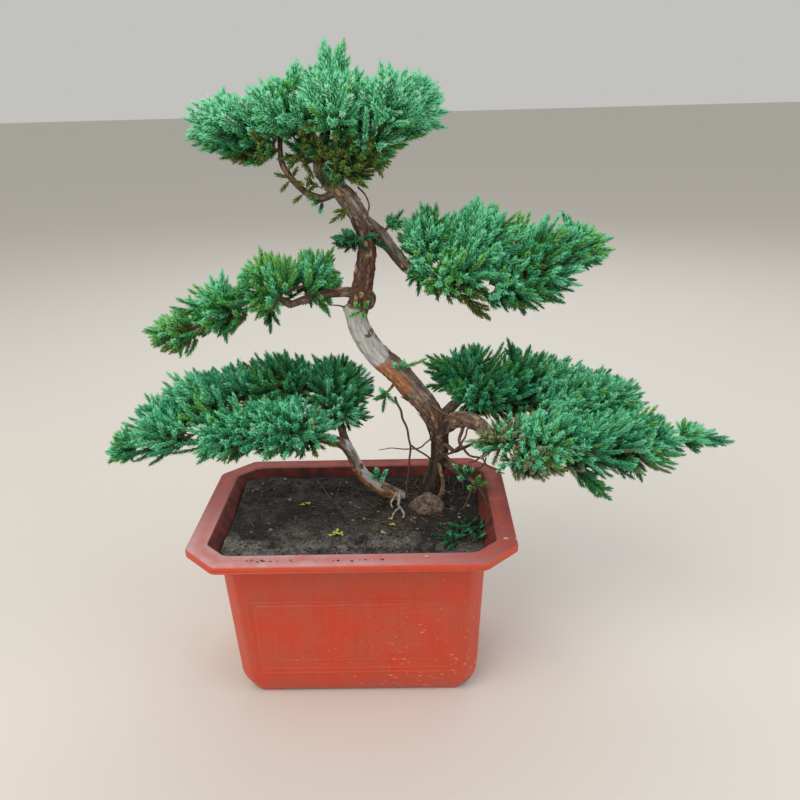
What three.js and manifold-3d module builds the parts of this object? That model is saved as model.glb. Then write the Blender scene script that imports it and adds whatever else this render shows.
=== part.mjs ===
// A trained juniper bonsai in an eight-sided plastic pot.
// Millimetres, +Z up. The origin is the centre of the pot's flat underside,
// +X runs along the pot's long side and +Y points away from the viewer.

import * as THREE from 'three';
import { mergeVertices } from 'three/addons/utils/BufferGeometryUtils.js';
import Module from 'manifold-3d';

const wasm = await Module();
wasm.setup();

// Driving dimensions of the pot
const POT_HEIGHT = 147.6;
const RIM_HALF = { x: 130, y: 92.8, chamfer: 26.4 };
const RIM_FLAT = 17.7;
const RIM_OVERHANG = 24.1;
const LIP_BAND = 6.3;
const WALL = 2.5;
const FLOOR_Z = 5.5;
const BASE_INSET = 14.8;
const BASE_CURVE_HEIGHT = 26;
const WALL_LEAN = 5.8;
const WALL_CHAMFER = { base: 8.3, body: 11.2 };
const COVE_LOW = 134;
const FOOT_LENGTH = 25;
const FOOT_GAP = 2.3;
const FOOT_DEPTH = 9;
const PANEL = { low: 25, high: 98, sideMargin: 19, recess: 0.8, border: 9 };
const DRAIN_RADIUS = 6;
const DRAIN_OFFSET = 48;

// The soil and how closely separate pieces lie
const SOIL_LEVEL = 138;
const CLEARANCE = 0.3;

// Root flare of the trunk: how far it swells at the soil and how quickly it fades upwards
const FLARE_SWELL = 0.55;
const FLARE_HEIGHT = 13;

// Flutes of the trunk: how deep, how many and how far they wind round it
const FLUTE = { depth: 0.09, count: 3, wind: 6 };

// Limbs from foot to tip: a centre line and the radius at each of its points.
// Each limb after the trunk starts inside an earlier one and is cut clear of it.
const LIMBS = [
  {
    name: 'trunk', sides: 10, steps: 32, colour: '#7d5f4c', flare: true, fluted: true,
    line: [[63, 43, 126], [66, 39, 147], [72, 35, 174], [72, 31, 200], [62, 26, 227], [50, 23, 243],
      [38, 20, 260], [23, 16, 276], [13, 13, 292], [7, 11, 308], [11, 9, 328], [15, 6, 346],
      [18, 2, 370], [13, -1, 391], [2, -4, 408], [-13, -5, 425], [-10, -5, 440], [-6, -4, 458]],
    radii: [7.4, 7.2, 7, 8.2, 9.2, 9.8, 9.8, 9.3, 8.7, 8.2, 8.4, 7.6, 6.6, 7, 6.9, 5.2, 4.2, 2.6],
  },
  {
    name: 'bough_right_middle', sides: 9, steps: 8, colour: '#6f625a',
    line: [[16, 0, 387], [27, 1, 378], [36, 2, 366], [47, 2, 352], [57, 3, 343]],
    radii: [5.4, 5.2, 4.9, 4.5, 3.6],
  },
  {
    name: 'bough_left_middle', sides: 9, steps: 8, colour: '#7e5348',
    line: [[9, 9, 330], [-1, 6, 332], [-13, 2, 332], [-31, -4, 329], [-43, -4, 325]],
    radii: [4.4, 4, 3.6, 3.2, 2.7],
  },
  {
    name: 'bough_lower_left', sides: 10, steps: 16, colour: '#93755a',
    line: [[46, 37, 130], [38, 33, 137], [29, 28, 145], [17, 22, 155], [7, 16, 168], [0, 11, 184],
      [-7, 3, 203], [-18, -3, 211], [-36, -6, 215]],
    radii: [6, 6.4, 6.2, 5.8, 5.4, 4.8, 4.6, 4.2, 3.3],
  },
  {
    name: 'bough_lower_left_back', sides: 7, steps: 6, colour: '#80654f',
    line: [[-5, 5, 199], [-9, 16, 206], [-13, 28, 214], [-17, 38, 220]],
    radii: [3.9, 3.5, 3.1, 2.7],
  },
  {
    name: 'bough_lower_right', sides: 10, steps: 10, colour: '#7c5f50',
    line: [[72, 31, 203], [82, 25, 213], [93, 17, 219], [105, 8, 217], [114, -2, 210], [123, -10, 207]],
    radii: [7.6, 7.2, 6.8, 6, 4.8, 3.8],
  },
  {
    name: 'bough_lower_right_back', sides: 8, steps: 8, colour: '#755b4d',
    line: [[69, 29, 212], [78, 38, 216], [87, 50, 220], [95, 62, 224]],
    radii: [5.8, 5, 4.4, 3.6],
  },
  {
    name: 'bough_crown_left', sides: 7, steps: 10, colour: '#76604f',
    line: [[-3, -5, 409], [-13, -7, 405], [-24, -10, 410], [-33, -13, 420], [-39, -14, 431],
      [-40, -8, 446]],
    radii: [3.7, 3.4, 3, 2.7, 2.4, 2.1],
  },
  {
    name: 'bough_crown_right', sides: 6, steps: 6, colour: '#76604f',
    line: [[-12, -5, 432], [-1, -3, 444], [12, -1, 453], [22, 0, 458]],
    radii: [3.2, 2.8, 2.4, 2],
  },
  {
    name: 'dead_stub', sides: 6, steps: 6, colour: '#5b4a3c',
    line: [[73, 34, 172], [82, 31, 168], [92, 26, 163], [102, 19, 157], [102, 17, 149]],
    radii: [3.6, 3.2, 2.8, 2.2, 1.6],
  },
  {
    name: 'aerial_root', sides: 6, steps: 8, colour: '#7a5a45',
    line: [[71, 34, 176], [73, 24, 166], [75, 22, 156], [73, 21, 147], [68, 22, 132]],
    radii: [2.2, 1.9, 1.8, 1.8, 2.2],
  },
];

// The cut stub where the lower trunk was shortened, and the old root crown in front of the foot
const CUT_STUB = { line: [[13, 13, 294], [6, 11, 311], [2, 11, 321]], radii: [8, 7.6, 6.2], sides: 10 };
const ROOT_CROWN = { centre: [61, 12, 138], half: [11, 9, 9], detail: 1, roughness: 0.12 };

// Foliage masses. Each grows from one stem that meets its carrier, through its lobes in turn.
// A lobe has a centre and how far its shoots reach along X, Y and Z.
// Leaders are the single shoots that stand out to a named tip.
const MASSES = [
  {
    name: 'foliage_crown_top', carrier: 'trunk', seed: 31,
    lobes: [{ centre: [0, -2, 467], reach: [31, 62, 30] }],
    leaders: [[-5, -5, 514], [8, -8, 508], [-2, 24, 502]],
  },
  {
    name: 'foliage_crown_left', carrier: 'bough_crown_left', seed: 13,
    lobes: [{ centre: [-37, 5, 467], reach: [33, 60, 30] }, { centre: [-77, 0, 460], reach: [31, 50, 24] }],
    leaders: [[-109, -5, 449], [-27, 0, 499], [-82, 2, 486], [-70, 46, 474]],
  },
  {
    name: 'foliage_crown_right', carrier: 'bough_crown_right', seed: 23,
    lobes: [{ centre: [42, 0, 465], reach: [38, 54, 26] }],
    leaders: [[80, -5, 463], [31, 2, 496], [58, 34, 480]],
  },
  {
    name: 'foliage_under_crown', carrier: 'trunk', fromSide: true, seed: 3,
    lobes: [{ centre: [8, -14, 428], reach: [18, 24, 22] }],
    leaders: [[33, -15, 417]],
  },
  {
    name: 'foliage_right_middle', carrier: 'bough_right_middle', seed: 60,
    lobes: [{ centre: [66, 10, 366], reach: [26, 40, 31] }, { centre: [104, 5, 362], reach: [33, 52, 36] },
      { centre: [146, -5, 352], reach: [35, 50, 36] }, { centre: [178, 0, 360], reach: [24, 32, 20] }],
    leaders: [[205, 0, 370], [113, -2, 308], [138, -5, 312], [55, 0, 327], [59, 12, 398],
      [102, 6, 401], [162, 2, 388]],
  },
  {
    name: 'foliage_left_middle', carrier: 'bough_left_middle', seed: 67,
    lobes: [{ centre: [-59, 5, 337], reach: [33, 42, 27] }, { centre: [-24, 15, 340], reach: [21, 34, 28] },
      { centre: [-96, 0, 325], reach: [30, 38, 25] }, { centre: [-131, -5, 310], reach: [27, 30, 20] }],
    parents: [0, 0, 0, 2],
    leaders: [[-162, -5, 306], [-61, 0, 299], [-7, 17, 367], [-64, 6, 371], [-105, 6, 354]],
  },
  {
    name: 'foliage_lower_left', carrier: 'bough_lower_left', seed: 81,
    lobes: [{ centre: [-55, -18, 229], reach: [46, 44, 22] },
      { centre: [-123, 15, 236], reach: [45, 48, 27] },
      { centre: [-147, -15, 226], reach: [36, 38, 20] },
      { centre: [-183, -12, 212], reach: [18, 24, 16] }],
    leaders: [[-203, -10, 195], [-181, -12, 196], [-98, -42, 207], [-112, 45, 262]],
  },
  {
    name: 'foliage_lower_left_back', carrier: 'bough_lower_left_back', seed: 83,
    lobes: [{ centre: [-15, 55, 234], reach: [33, 42, 29] },
      { centre: [-62, 45, 239], reach: [45, 52, 30] }],
    leaders: [[-77, 56, 270], [-5, 60, 264], [-38, 92, 252]],
  },
  {
    name: 'foliage_lower_right', carrier: 'bough_lower_right', seed: 101,
    lobes: [{ centre: [154, -22, 215], reach: [40, 40, 25] },
      { centre: [225, -5, 207], reach: [42, 45, 28] }, { centre: [276, 0, 211], reach: [22, 16, 12] }],
    leaders: [[315, 0, 201], [212, -21, 155], [262, 0, 227], [150, -60, 208]],
  },
  {
    name: 'foliage_lower_right_back', carrier: 'bough_lower_right_back', seed: 103,
    lobes: [{ centre: [103, 75, 233], reach: [36, 45, 32] },
      { centre: [150, 58, 233], reach: [45, 55, 35] }, { centre: [207, 40, 226], reach: [46, 50, 30] }],
    leaders: [[132, 70, 275], [63, 80, 256], [110, 76, 269], [218, 58, 256], [165, 108, 246]],
  },
  {
    name: 'foliage_fork_tuft', carrier: 'trunk', fromSide: true, seed: 3,
    lobes: [{ centre: [10, -13, 373], reach: [16, 11, 14] }],
    leaders: [],
  },
  {
    name: 'foliage_fork_sprig', carrier: 'bough_right_middle', fromSide: true, seed: 113,
    lobes: [{ centre: [40, 0, 388], reach: [10, 9, 9] }],
    leaders: [],
  },
  {
    name: 'foliage_trunk_sprig', carrier: 'trunk', fromSide: true, seed: 127,
    lobes: [{ centre: [30, 6, 241], reach: [12, 9, 12] }],
    leaders: [],
  },
];

// A spray stands for a few real shoots: its length and width, its thickness and how far apart they grow
const SPRAY = { length: 28, width: 20, thickness: 2.2, spacing: 23, apart: 0.575 };

// The heart of a lobe: its share of the lobe's reach, how flat and how uneven it is.
// A mass with a lobe of less than the small reach has none.
const CORE = { share: 0.66, flat: 0.85, least: 0.72, most: 1.16, detail: 1 };
const SMALL_REACH = 16;

// How the sprays lie on a lobe: the height of the lowest as a share of the reach, how far in
// the innermost ends, how much its way outwards, away from the stem and upwards counts,
// and how deep in the neighbouring lobe an end is hidden
const SPREAD = { lowest: -0.78, inner: 0.87, outwards: 0.75, away: 0.45, upwards: 0.2, hidden: 0.93 };
const GOLDEN_ANGLE = Math.PI * (3 - Math.sqrt(5));

// Stems and twigs: the thickest stem that leaves a limb's side, the taper and sag of a twig,
// and how far shoots keep from limbs
const SIDE_STEM_RADIUS = 1.8;
const TWIG = { middle: 0.8, end: 0.5, sag: 0.06 };
const LIMB_MARGIN = 1;

// A leader's two sprays: the width of the outer one, where their feet are along the leader
// and how far the collar behind the tip hangs below it
const LEADER = { width: 0.6, foot: 0.3, collarFoot: 0.2, collarDrop: 1.5 };

// Lobes nearer to each other than their joint reach over this share are parted by a plane
const NEIGHBOUR_SHARE = 0.75;

const up = new THREE.Vector3(0, 0, 1);
const vector = (xyz) => new THREE.Vector3(...xyz);

// Colours and finishes of the pieces
const finish = (color, roughness) => new THREE.MeshStandardMaterial({ color, roughness, metalness: 0 });
const plastic = (colour) => finish(colour, 0.45);
const matte = (colour) => finish(colour, 0.9);

// A closed geometry as a solid that can be joined and cut
function solidOf(geometry) {
  const bare = geometry.clone();
  bare.deleteAttribute('normal');
  bare.deleteAttribute('uv');
  const merged = mergeVertices(bare, 1e-4);
  return new wasm.Manifold(new wasm.Mesh({
    numProp: 3,
    vertProperties: Float32Array.from(merged.attributes.position.array),
    triVerts: Uint32Array.from(merged.index.array),
  }));
}

// A finished solid as a named mesh
function meshOf(name, solid, material) {
  const data = solid.getMesh();
  const geometry = new THREE.BufferGeometry();
  geometry.setAttribute('position', new THREE.BufferAttribute(new Float32Array(data.vertProperties), 3));
  geometry.setIndex(new THREE.BufferAttribute(new Uint32Array(data.triVerts), 1));
  geometry.computeVertexNormals();
  const mesh = new THREE.Mesh(geometry, material);
  mesh.name = name;
  return mesh;
}

// The largest body of a solid, so that loose scraps and sealed hollows are dropped
function largestBody(solid) {
  return solid.decompose().reduce((best, body) => (body.volume() > best.volume() ? body : best));
}

// A closed tube of sides by steps faces whose every corner is placed by a rule
function shapedTube(sides, steps, place) {
  const geometry = new THREE.CylinderGeometry(1, 1, 1, sides, steps);
  const corners = geometry.attributes.position;
  for (let i = 0; i < corners.count; i += 1) {
    const x = corners.getX(i);
    const z = corners.getZ(i);
    const row = Math.round((corners.getY(i) + 0.5) * steps);
    const point = place(row, Math.atan2(-z, x), Math.min(1, Math.round(Math.hypot(x, z))));
    corners.setXYZ(i, point.x, point.y, point.z);
  }
  return solidOf(geometry);
}

function boxAt(size, centre, tilt = [0, 0, 0]) {
  const geometry = new THREE.BoxGeometry(...size);
  geometry.rotateX(tilt[0]);
  geometry.rotateY(tilt[1]);
  geometry.translate(...centre);
  return solidOf(geometry);
}

// The eight corners of a rectangle with cut corners, counter-clockwise from the front right
function octagon(halfX, halfY, chamfer) {
  const quarter = [[halfX - chamfer, -halfY], [halfX, -halfY + chamfer]];
  const right = [...quarter, ...quarter.map(([x, y]) => [x, -y]).reverse()];
  return [...right, ...right.map(([x, y]) => [-x, -y])];
}

// A vessel or block of eight sides, built from rings [z, inset from the rim, chamfer]
function octagonStack(rings) {
  return shapedTube(8, rings.length - 1, (row, angle, reach) => {
    const [z, inset, chamfer] = rings[row];
    const corner = Math.round(angle / (Math.PI / 4) + 10) % 8;
    const [x, y] = octagon(RIM_HALF.x - inset, RIM_HALF.y - inset, chamfer)[corner];
    return new THREE.Vector3(x * reach, y * reach, z);
  });
}

// How far the outer wall lies in from the rim at a height
function wallInset(z) {
  const bodyTop = POT_HEIGHT - LIP_BAND - CLEARANCE;
  const low = Math.max(0, 1 - z / BASE_CURVE_HEIGHT);
  const lean = WALL_LEAN * (bodyTop - Math.max(z, BASE_CURVE_HEIGHT)) / (bodyTop - BASE_CURVE_HEIGHT);
  return RIM_OVERHANG + lean + (BASE_INSET - WALL_LEAN) * low ** 2;
}

const wallChamfer = (z) => THREE.MathUtils.lerp(WALL_CHAMFER.base, WALL_CHAMFER.body,
  Math.min(1, z / BASE_CURVE_HEIGHT));

// The pot: curved foot, leaning walls, a cove under the broad lip and a sloping inside
function buildPot() {
  const lipLow = POT_HEIGHT - LIP_BAND;
  const outside = [0, 3, 8, 15, BASE_CURVE_HEIGHT, COVE_LOW].map((z) => [z, wallInset(z), wallChamfer(z)]);
  const lip = [
    [lipLow - 4, RIM_OVERHANG - 2, 12], [lipLow - 1.6, RIM_OVERHANG - 8, 16],
    [lipLow - 0.6, 3.4, 25], [lipLow - 0.4, 1, 26], [lipLow + 0.8, 0.1, 26.2],
    [lipLow + 1.4, 0.7, 26.1], [lipLow + 2, 0, RIM_HALF.chamfer], [POT_HEIGHT - 1.6, 0, RIM_HALF.chamfer],
    [POT_HEIGHT - 0.4, 0.7, 26.1], [POT_HEIGHT, 2, 25.6], [POT_HEIGHT, RIM_FLAT - 1, 16.4],
    [POT_HEIGHT - 1, RIM_FLAT, 16],
  ];
  const inside = [COVE_LOW + 1, BASE_CURVE_HEIGHT, 15, 9]
    .map((z) => [z, wallInset(z) + WALL, wallChamfer(z) - 1]);
  const floor = [[FLOOR_Z, wallInset(FLOOR_Z) + WALL + 2, 7]];
  let pot = octagonStack([...outside, ...lip, ...inside, ...floor]);
  const baseX = RIM_HALF.x - wallInset(0);
  const baseY = RIM_HALF.y - wallInset(0);
  for (const side of [-1, 1]) {
    const longGap = [2 * (baseX - FOOT_LENGTH), 2 * FOOT_DEPTH, 2 * FOOT_GAP];
    const shortGap = [2 * FOOT_DEPTH, 2 * (baseY - FOOT_LENGTH), 2 * FOOT_GAP];
    pot = pot.subtract(boxAt(longGap, [0, side * baseY, 0]));
    pot = pot.subtract(boxAt(shortGap, [side * baseX, 0, 0]));
    const drain = new THREE.CylinderGeometry(DRAIN_RADIUS, DRAIN_RADIUS, 4 * FLOOR_Z, 8);
    drain.rotateX(Math.PI / 2);
    drain.translate(side * DRAIN_OFFSET, 0, FLOOR_Z);
    pot = pot.subtract(solidOf(drain));
  }
  return cutPanels(pot);
}

// A shallow picture-frame panel sunk in each of the four broad faces
function cutPanels(pot) {
  const middle = (PANEL.low + PANEL.high) / 2;
  const lean = Math.atan(WALL_LEAN / (POT_HEIGHT - BASE_CURVE_HEIGHT));
  const height = PANEL.high - PANEL.low;
  const inset = wallInset(middle);
  const cuts = [];
  for (const side of [-1, 1]) {
    for (const ring of [0, 1]) {
      const shrink = 2 * PANEL.border * ring;
      const depth = 2 * PANEL.recess * (ring + 1);
      const longX = 2 * (RIM_HALF.x - inset - PANEL.sideMargin) - shrink;
      const longY = 2 * (RIM_HALF.y - inset - PANEL.sideMargin) - shrink;
      cuts.push(boxAt([longX, depth, height - shrink],
        [0, side * (RIM_HALF.y - inset), middle], [side * -lean, 0, 0]));
      cuts.push(boxAt([depth, longY, height - shrink],
        [side * (RIM_HALF.x - inset), 0, middle], [0, side * lean, 0]));
    }
  }
  return cuts.reduce((body, cut) => body.subtract(cut), pot);
}

// The soil fills the pot to its level and stays clear of the wall and floor
function buildSoil() {
  const grown = WALL + CLEARANCE;
  const rings = [[FLOOR_Z + CLEARANCE, wallInset(FLOOR_Z) + grown + 2, 7]];
  for (const z of [9, 15, BASE_CURVE_HEIGHT, SOIL_LEVEL]) {
    rings.push([z, wallInset(Math.min(z, COVE_LOW + 1)) + grown, wallChamfer(z) - 1]);
  }
  return octagonStack(rings);
}

// The radius of a limb at a share of its line, with the swelling at the soil where it has one
function limbRadius(limb, share, height) {
  const place = share * (limb.radii.length - 1);
  const low = Math.min(Math.floor(place), limb.radii.length - 2);
  const radius = THREE.MathUtils.lerp(limb.radii[low], limb.radii[low + 1], place - low);
  const rise = Math.max(0, height - SOIL_LEVEL);
  return limb.flare ? radius * (1 + FLARE_SWELL * Math.exp(-rise / FLARE_HEIGHT)) : radius;
}

// A tapering limb along a smooth line. Flutes run up a fluted limb and fade towards its tip.
function growLimb(limb, extra = 0) {
  const curve = new THREE.CatmullRomCurve3(limb.line.map(vector), false, 'centripetal');
  const frames = curve.computeFrenetFrames(limb.steps, false);
  return shapedTube(limb.sides, limb.steps, (row, angle, reach) => {
    const along = row / limb.steps;
    const share = curve.getUtoTmapping(along, 0);
    const centre = curve.getPoint(share);
    const wave = Math.cos(FLUTE.count * angle + FLUTE.wind * along);
    const flute = limb.fluted ? 1 + FLUTE.depth * (1 - along) * wave : 1;
    const radius = (limbRadius(limb, share, centre.z) * flute + extra) * reach;
    if (extra > 0 && row === limb.steps) centre.addScaledVector(frames.tangents[row], extra);
    return centre
      .addScaledVector(frames.normals[row], Math.cos(angle) * radius)
      .addScaledVector(frames.binormals[row], Math.sin(angle) * radius);
  });
}

// The centre line of a limb as points with their radii, close enough to test what touches it
function limbSamples(limb) {
  const curve = new THREE.CatmullRomCurve3(limb.line.map(vector), false, 'centripetal');
  const count = Math.ceil(curve.getLength() / 3);
  return Array.from({ length: count + 1 }, (_, i) => {
    const share = curve.getUtoTmapping(i / count, 0);
    const point = curve.getPoint(share);
    return { point, radius: limbRadius(limb, share, point.z) };
  });
}

// Everything below the soil's surface is cut off flat
const belowSoil = boxAt([400, 300, 100], [0, 0, SOIL_LEVEL - 50]);

function buildLimbs() {
  const solids = new Map();
  let taken = null;
  for (const limb of LIMBS) {
    let body = growLimb(limb);
    let grown = growLimb(limb, CLEARANCE);
    if (limb.name === 'trunk') {
      const stub = { ...CUT_STUB, steps: 3 };
      body = body.add(growLimb(stub));
      grown = grown.add(growLimb(stub, CLEARANCE));
    }
    if (taken) body = body.subtract(taken);
    solids.set(limb.name, largestBody(body.subtract(belowSoil)));
    taken = taken ? taken.add(grown) : grown;
  }
  return { solids, taken };
}

// The old root crown: a lumpy ball set on the soil
function buildRootCrown() {
  const ball = new THREE.IcosahedronGeometry(1, ROOT_CROWN.detail);
  const corners = ball.attributes.position;
  for (let i = 0; i < corners.count; i += 1) {
    const [x, y, z] = [corners.getX(i), corners.getY(i), corners.getZ(i)];
    const swell = 1 + ROOT_CROWN.roughness * Math.sin(5 * x + 2 * z) * Math.cos(4 * y - 3 * z);
    corners.setXYZ(i, x * swell * ROOT_CROWN.half[0], y * swell * ROOT_CROWN.half[1],
      z * swell * ROOT_CROWN.half[2]);
  }
  ball.translate(...ROOT_CROWN.centre);
  return solidOf(ball).subtract(belowSoil);
}

// Seeded numbers between 0 and 1
function dice(seed) {
  let state = seed;
  return () => {
    state = (Math.imul(state, 1664525) + 1013904223) >>> 0;
    return state / 4294967296;
  };
}

// How far a lobe reaches from its centre along a unit direction
function lobeReach(lobe, direction) {
  const [x, y, z] = lobe.reach;
  return 1 / Math.hypot(direction.x / x, direction.y / y, direction.z / z);
}

function insideLobe(lobe, point, share) {
  const offset = point.clone().sub(vector(lobe.centre));
  const distance = offset.length();
  return distance < share * lobeReach(lobe, offset.normalize());
}

// The planes that part a lobe from the lobes of other masses
function bordersOf(lobe, mass) {
  const borders = [];
  for (const other of MASSES.filter((entry) => entry !== mass)) {
    for (const rival of other.lobes) {
      const across = vector(rival.centre).sub(vector(lobe.centre));
      const distance = across.length();
      const normal = across.normalize();
      const own = lobeReach(lobe, normal);
      const theirs = lobeReach(rival, normal);
      const share = own / (own + theirs);
      if (own + theirs > NEIGHBOUR_SHARE * distance) {
        borders.push({ normal, limit: normal.dot(vector(lobe.centre)) + share * distance - CLEARANCE });
      }
    }
  }
  return borders;
}

const withinBorders = (borders, point) => borders.every(({ normal, limit }) => normal.dot(point) < limit);

// The denser heart of a lobe, rough all over and flattened where it meets a border
function growCore(lobe, borders, random) {
  const round = new THREE.IcosahedronGeometry(1, CORE.detail);
  const ball = mergeVertices(round.deleteAttribute('normal').deleteAttribute('uv'));
  const corners = ball.attributes.position;
  for (let i = 0; i < corners.count; i += 1) {
    const swell = CORE.share * THREE.MathUtils.lerp(CORE.least, CORE.most, random());
    const point = new THREE.Vector3().fromBufferAttribute(corners, i).multiply(vector(lobe.reach));
    point.multiply(new THREE.Vector3(swell, swell, swell * CORE.flat)).add(vector(lobe.centre));
    for (const { normal, limit } of borders) {
      const over = normal.dot(point) - limit;
      if (over > 0) point.addScaledVector(normal, -over);
    }
    corners.setXYZ(i, point.x, point.y, point.z);
  }
  return solidOf(ball);
}

// The outline of a spray as shares of its length and width, counter-clockwise from the tip.
// Its teeth are the shoots, a middle one and one on each side, and its fourth corner is the foot.
const SPRAY_OUTLINE = [[0.5, 0], [0.1, 0.15], [0.17, 0.5], [-0.5, 0], [0.13, -0.5], [0.12, -0.15]];
const FOOT_CORNER = 3;

// The corners of a toothed blade that grows along a direction from its foot and ends at a tip
function sprayCorners(tip, direction, foot, size, turn) {
  const side = new THREE.Vector3().crossVectors(up, direction);
  if (side.length() < 0.05) side.set(1, 0, 0);
  side.normalize().applyAxisAngle(direction, turn);
  const normal = new THREE.Vector3().crossVectors(direction, side);
  const middle = tip.clone().addScaledVector(direction, -SPRAY_OUTLINE[0][0] * size.length);
  const corners = SPRAY_OUTLINE.map(([along, wide], i) => middle.clone()
    .addScaledVector(direction, along * size.length)
    .addScaledVector(side, wide * size.width)
    .addScaledVector(normal, (i % 4 === 0 ? 0.5 : -0.5) * size.thickness));
  corners[FOOT_CORNER] = foot;
  return { middle, normal, corners };
}

// A ball of two rows becomes the blade: its poles are the faces and its equator the outline
function growSpray({ middle, normal, corners }, size) {
  const ball = new THREE.SphereGeometry(1, corners.length, 2);
  const places = ball.attributes.position;
  for (let i = 0; i < places.count; i += 1) {
    const height = places.getY(i);
    const pole = middle.clone().addScaledVector(normal, Math.sign(height) * size.thickness);
    const turn = Math.atan2(places.getZ(i), -places.getX(i)) / (2 * Math.PI);
    const tooth = Math.round((turn + 1) * corners.length) % corners.length;
    const point = Math.abs(height) > 0.5 ? pole : corners[tooth];
    places.setXYZ(i, point.x, point.y, point.z);
  }
  return solidOf(ball);
}

// A thin three-sided twig
function growTwig(start, end, radius) {
  const middle = start.clone().lerp(end, 0.5).addScaledVector(up, -TWIG.sag * start.distanceTo(end));
  const line = [start, middle, end].map((point) => point.toArray());
  return growLimb({ line, radii: [radius, TWIG.middle * radius, TWIG.end * radius], sides: 3, steps: 1 });
}

// The surface of a lobe, by the usual approximation for an ellipsoid
function lobeArea(lobe) {
  const [x, y, z] = lobe.reach.map((reach) => reach ** 1.6);
  return 4 * Math.PI * ((x * y + x * z + y * z) / 3) ** (1 / 1.6);
}

// Where and which way the sprays of a lobe end: spread evenly over it, leaning outwards and up
function sprayPlaces(lobe, away, random) {
  const [x, y, z] = lobe.reach;
  const spacing = Math.min(SPRAY.spacing, 0.95 * Math.min(x, y, z));
  const count = Math.round(lobeArea(lobe) / spacing ** 2);
  return Array.from({ length: count }, (_, i) => {
    const height = 1 - (1 - SPREAD.lowest) * (i + 0.5) / count;
    const azimuth = i * GOLDEN_ANGLE + 0.5 * random();
    const flat = Math.sqrt(1 - height ** 2);
    const radial = new THREE.Vector3(flat * Math.cos(azimuth), flat * Math.sin(azimuth), height);
    const tip = radial.clone().multiply(vector(lobe.reach))
      .multiplyScalar(THREE.MathUtils.lerp(SPREAD.inner, 1, random())).add(vector(lobe.centre));
    const direction = radial.multiplyScalar(SPREAD.outwards).addScaledVector(away, SPREAD.away)
      .addScaledVector(up, SPREAD.upwards).normalize();
    return { tip, direction, turn: 2 * Math.PI * random() };
  });
}

// Grows one mass from its stem: the spine through its lobes, their cores, sprays and leaders
function growMass(mass, samplesOf, allSamples, takenByLimbs) {
  const random = dice(mass.seed);
  const carrier = samplesOf.get(mass.carrier);
  const first = vector(mass.lobes[0].centre);
  const nearest = carrier.reduce((a, b) => (b.point.distanceTo(first) < a.point.distanceTo(first) ? b : a));
  const root = mass.fromSide ? nearest : carrier[carrier.length - 1];
  const stemRadius = Math.min(root.radius, mass.fromSide ? SIDE_STEM_RADIUS : root.radius);
  const clear = (point) => allSamples.every((at) => at.point.distanceTo(point) > at.radius + LIMB_MARGIN);
  const parts = [growTwig(root.point, first, stemRadius)];
  const placed = [];
  const small = Math.min(...mass.lobes[0].reach) < SMALL_REACH;
  mass.lobes.forEach((lobe, i) => {
    const centre = vector(lobe.centre);
    const borders = bordersOf(lobe, mass);
    const parent = mass.parents ? mass.parents[i] : Math.max(0, i - 1);
    if (i > 0) parts.push(growTwig(vector(mass.lobes[parent].centre), centre, TWIG.middle * stemRadius));
    if (!small) parts.push(growCore(lobe, borders, random));
    const away = centre.clone().sub(root.point).setZ(0).normalize();
    const length = Math.min(SPRAY.length, 1.25 * Math.min(...lobe.reach));
    const size = { length, width: SPRAY.width * length / SPRAY.length, thickness: SPRAY.thickness };
    for (const { tip, direction, turn } of sprayPlaces(lobe, away, random)) {
      const buried = mass.lobes.some((other) => other !== lobe && insideLobe(other, tip, SPREAD.hidden));
      const foot = tip.clone().sub(centre).multiplyScalar(small ? 0.05 : 0.6 * CORE.share).add(centre);
      const blade = sprayCorners(tip, direction, foot, size, turn);
      const outline = [...blade.corners, blade.middle];
      const crowded = placed.some((at) => at.distanceTo(blade.middle) < SPRAY.apart * length);
      const free = outline.every((point) => withinBorders(borders, point) && clear(point));
      if (buried || crowded || !free) continue;
      placed.push(blade.middle);
      parts.push(growSpray(blade, size));
    }
  });
  for (const leader of mass.leaders) parts.push(...growLeader(mass, vector(leader)));
  const fused = parts.reduce((body, piece) => body.add(piece));
  return largestBody(fused.subtract(takenByLimbs));
}

// A leader: a narrow spray out to a named tip and a wider one behind it
function growLeader(mass, tip) {
  const nearest = mass.lobes.reduce((a, b) => (
    vector(b.centre).distanceTo(tip) < vector(a.centre).distanceTo(tip) ? b : a));
  const start = vector(nearest.centre);
  const direction = tip.clone().sub(start).normalize();
  const size = { length: SPRAY.length, width: LEADER.width * SPRAY.width, thickness: SPRAY.thickness };
  const collar = tip.clone().addScaledVector(direction, -0.5 * SPRAY.length)
    .addScaledVector(up, -LEADER.collarDrop);
  const collarWay = collar.clone().sub(start).normalize();
  return [
    growSpray(sprayCorners(tip, direction, start.clone().lerp(tip, LEADER.foot), size, 0.4), size),
    growSpray(sprayCorners(collar, collarWay, start.clone().lerp(collar, LEADER.collarFoot),
      { ...size, width: SPRAY.width }, 1.9), size),
  ];
}

// The whole plant in its pot
const bonsai = new THREE.Group();
bonsai.add(meshOf('pot', buildPot(), plastic('#b8442e')));
bonsai.add(meshOf('soil', buildSoil(), matte('#4a4440')));
bonsai.add(meshOf('root_crown', buildRootCrown(), matte('#5f4b3c')));

const { solids: limbSolids, taken: takenByLimbs } = buildLimbs();
for (const limb of LIMBS) bonsai.add(meshOf(limb.name, limbSolids.get(limb.name), matte(limb.colour)));

const samplesOf = new Map(LIMBS.map((limb) => [limb.name, limbSamples(limb)]));
const allSamples = [...samplesOf.values()].flat();
for (const mass of MASSES) {
  bonsai.add(meshOf(mass.name, growMass(mass, samplesOf, allSamples, takenByLimbs), matte('#2e7d4f')));
}

export default bonsai;
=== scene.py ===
"""A juniper bonsai in an eight-sided red plastic pot.

Lengths are in millimetres up to the point where a mesh is made. The origin is the centre
of the pot's flat underside, +Z is up and +Y points away from the viewer.
"""

import math

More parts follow.
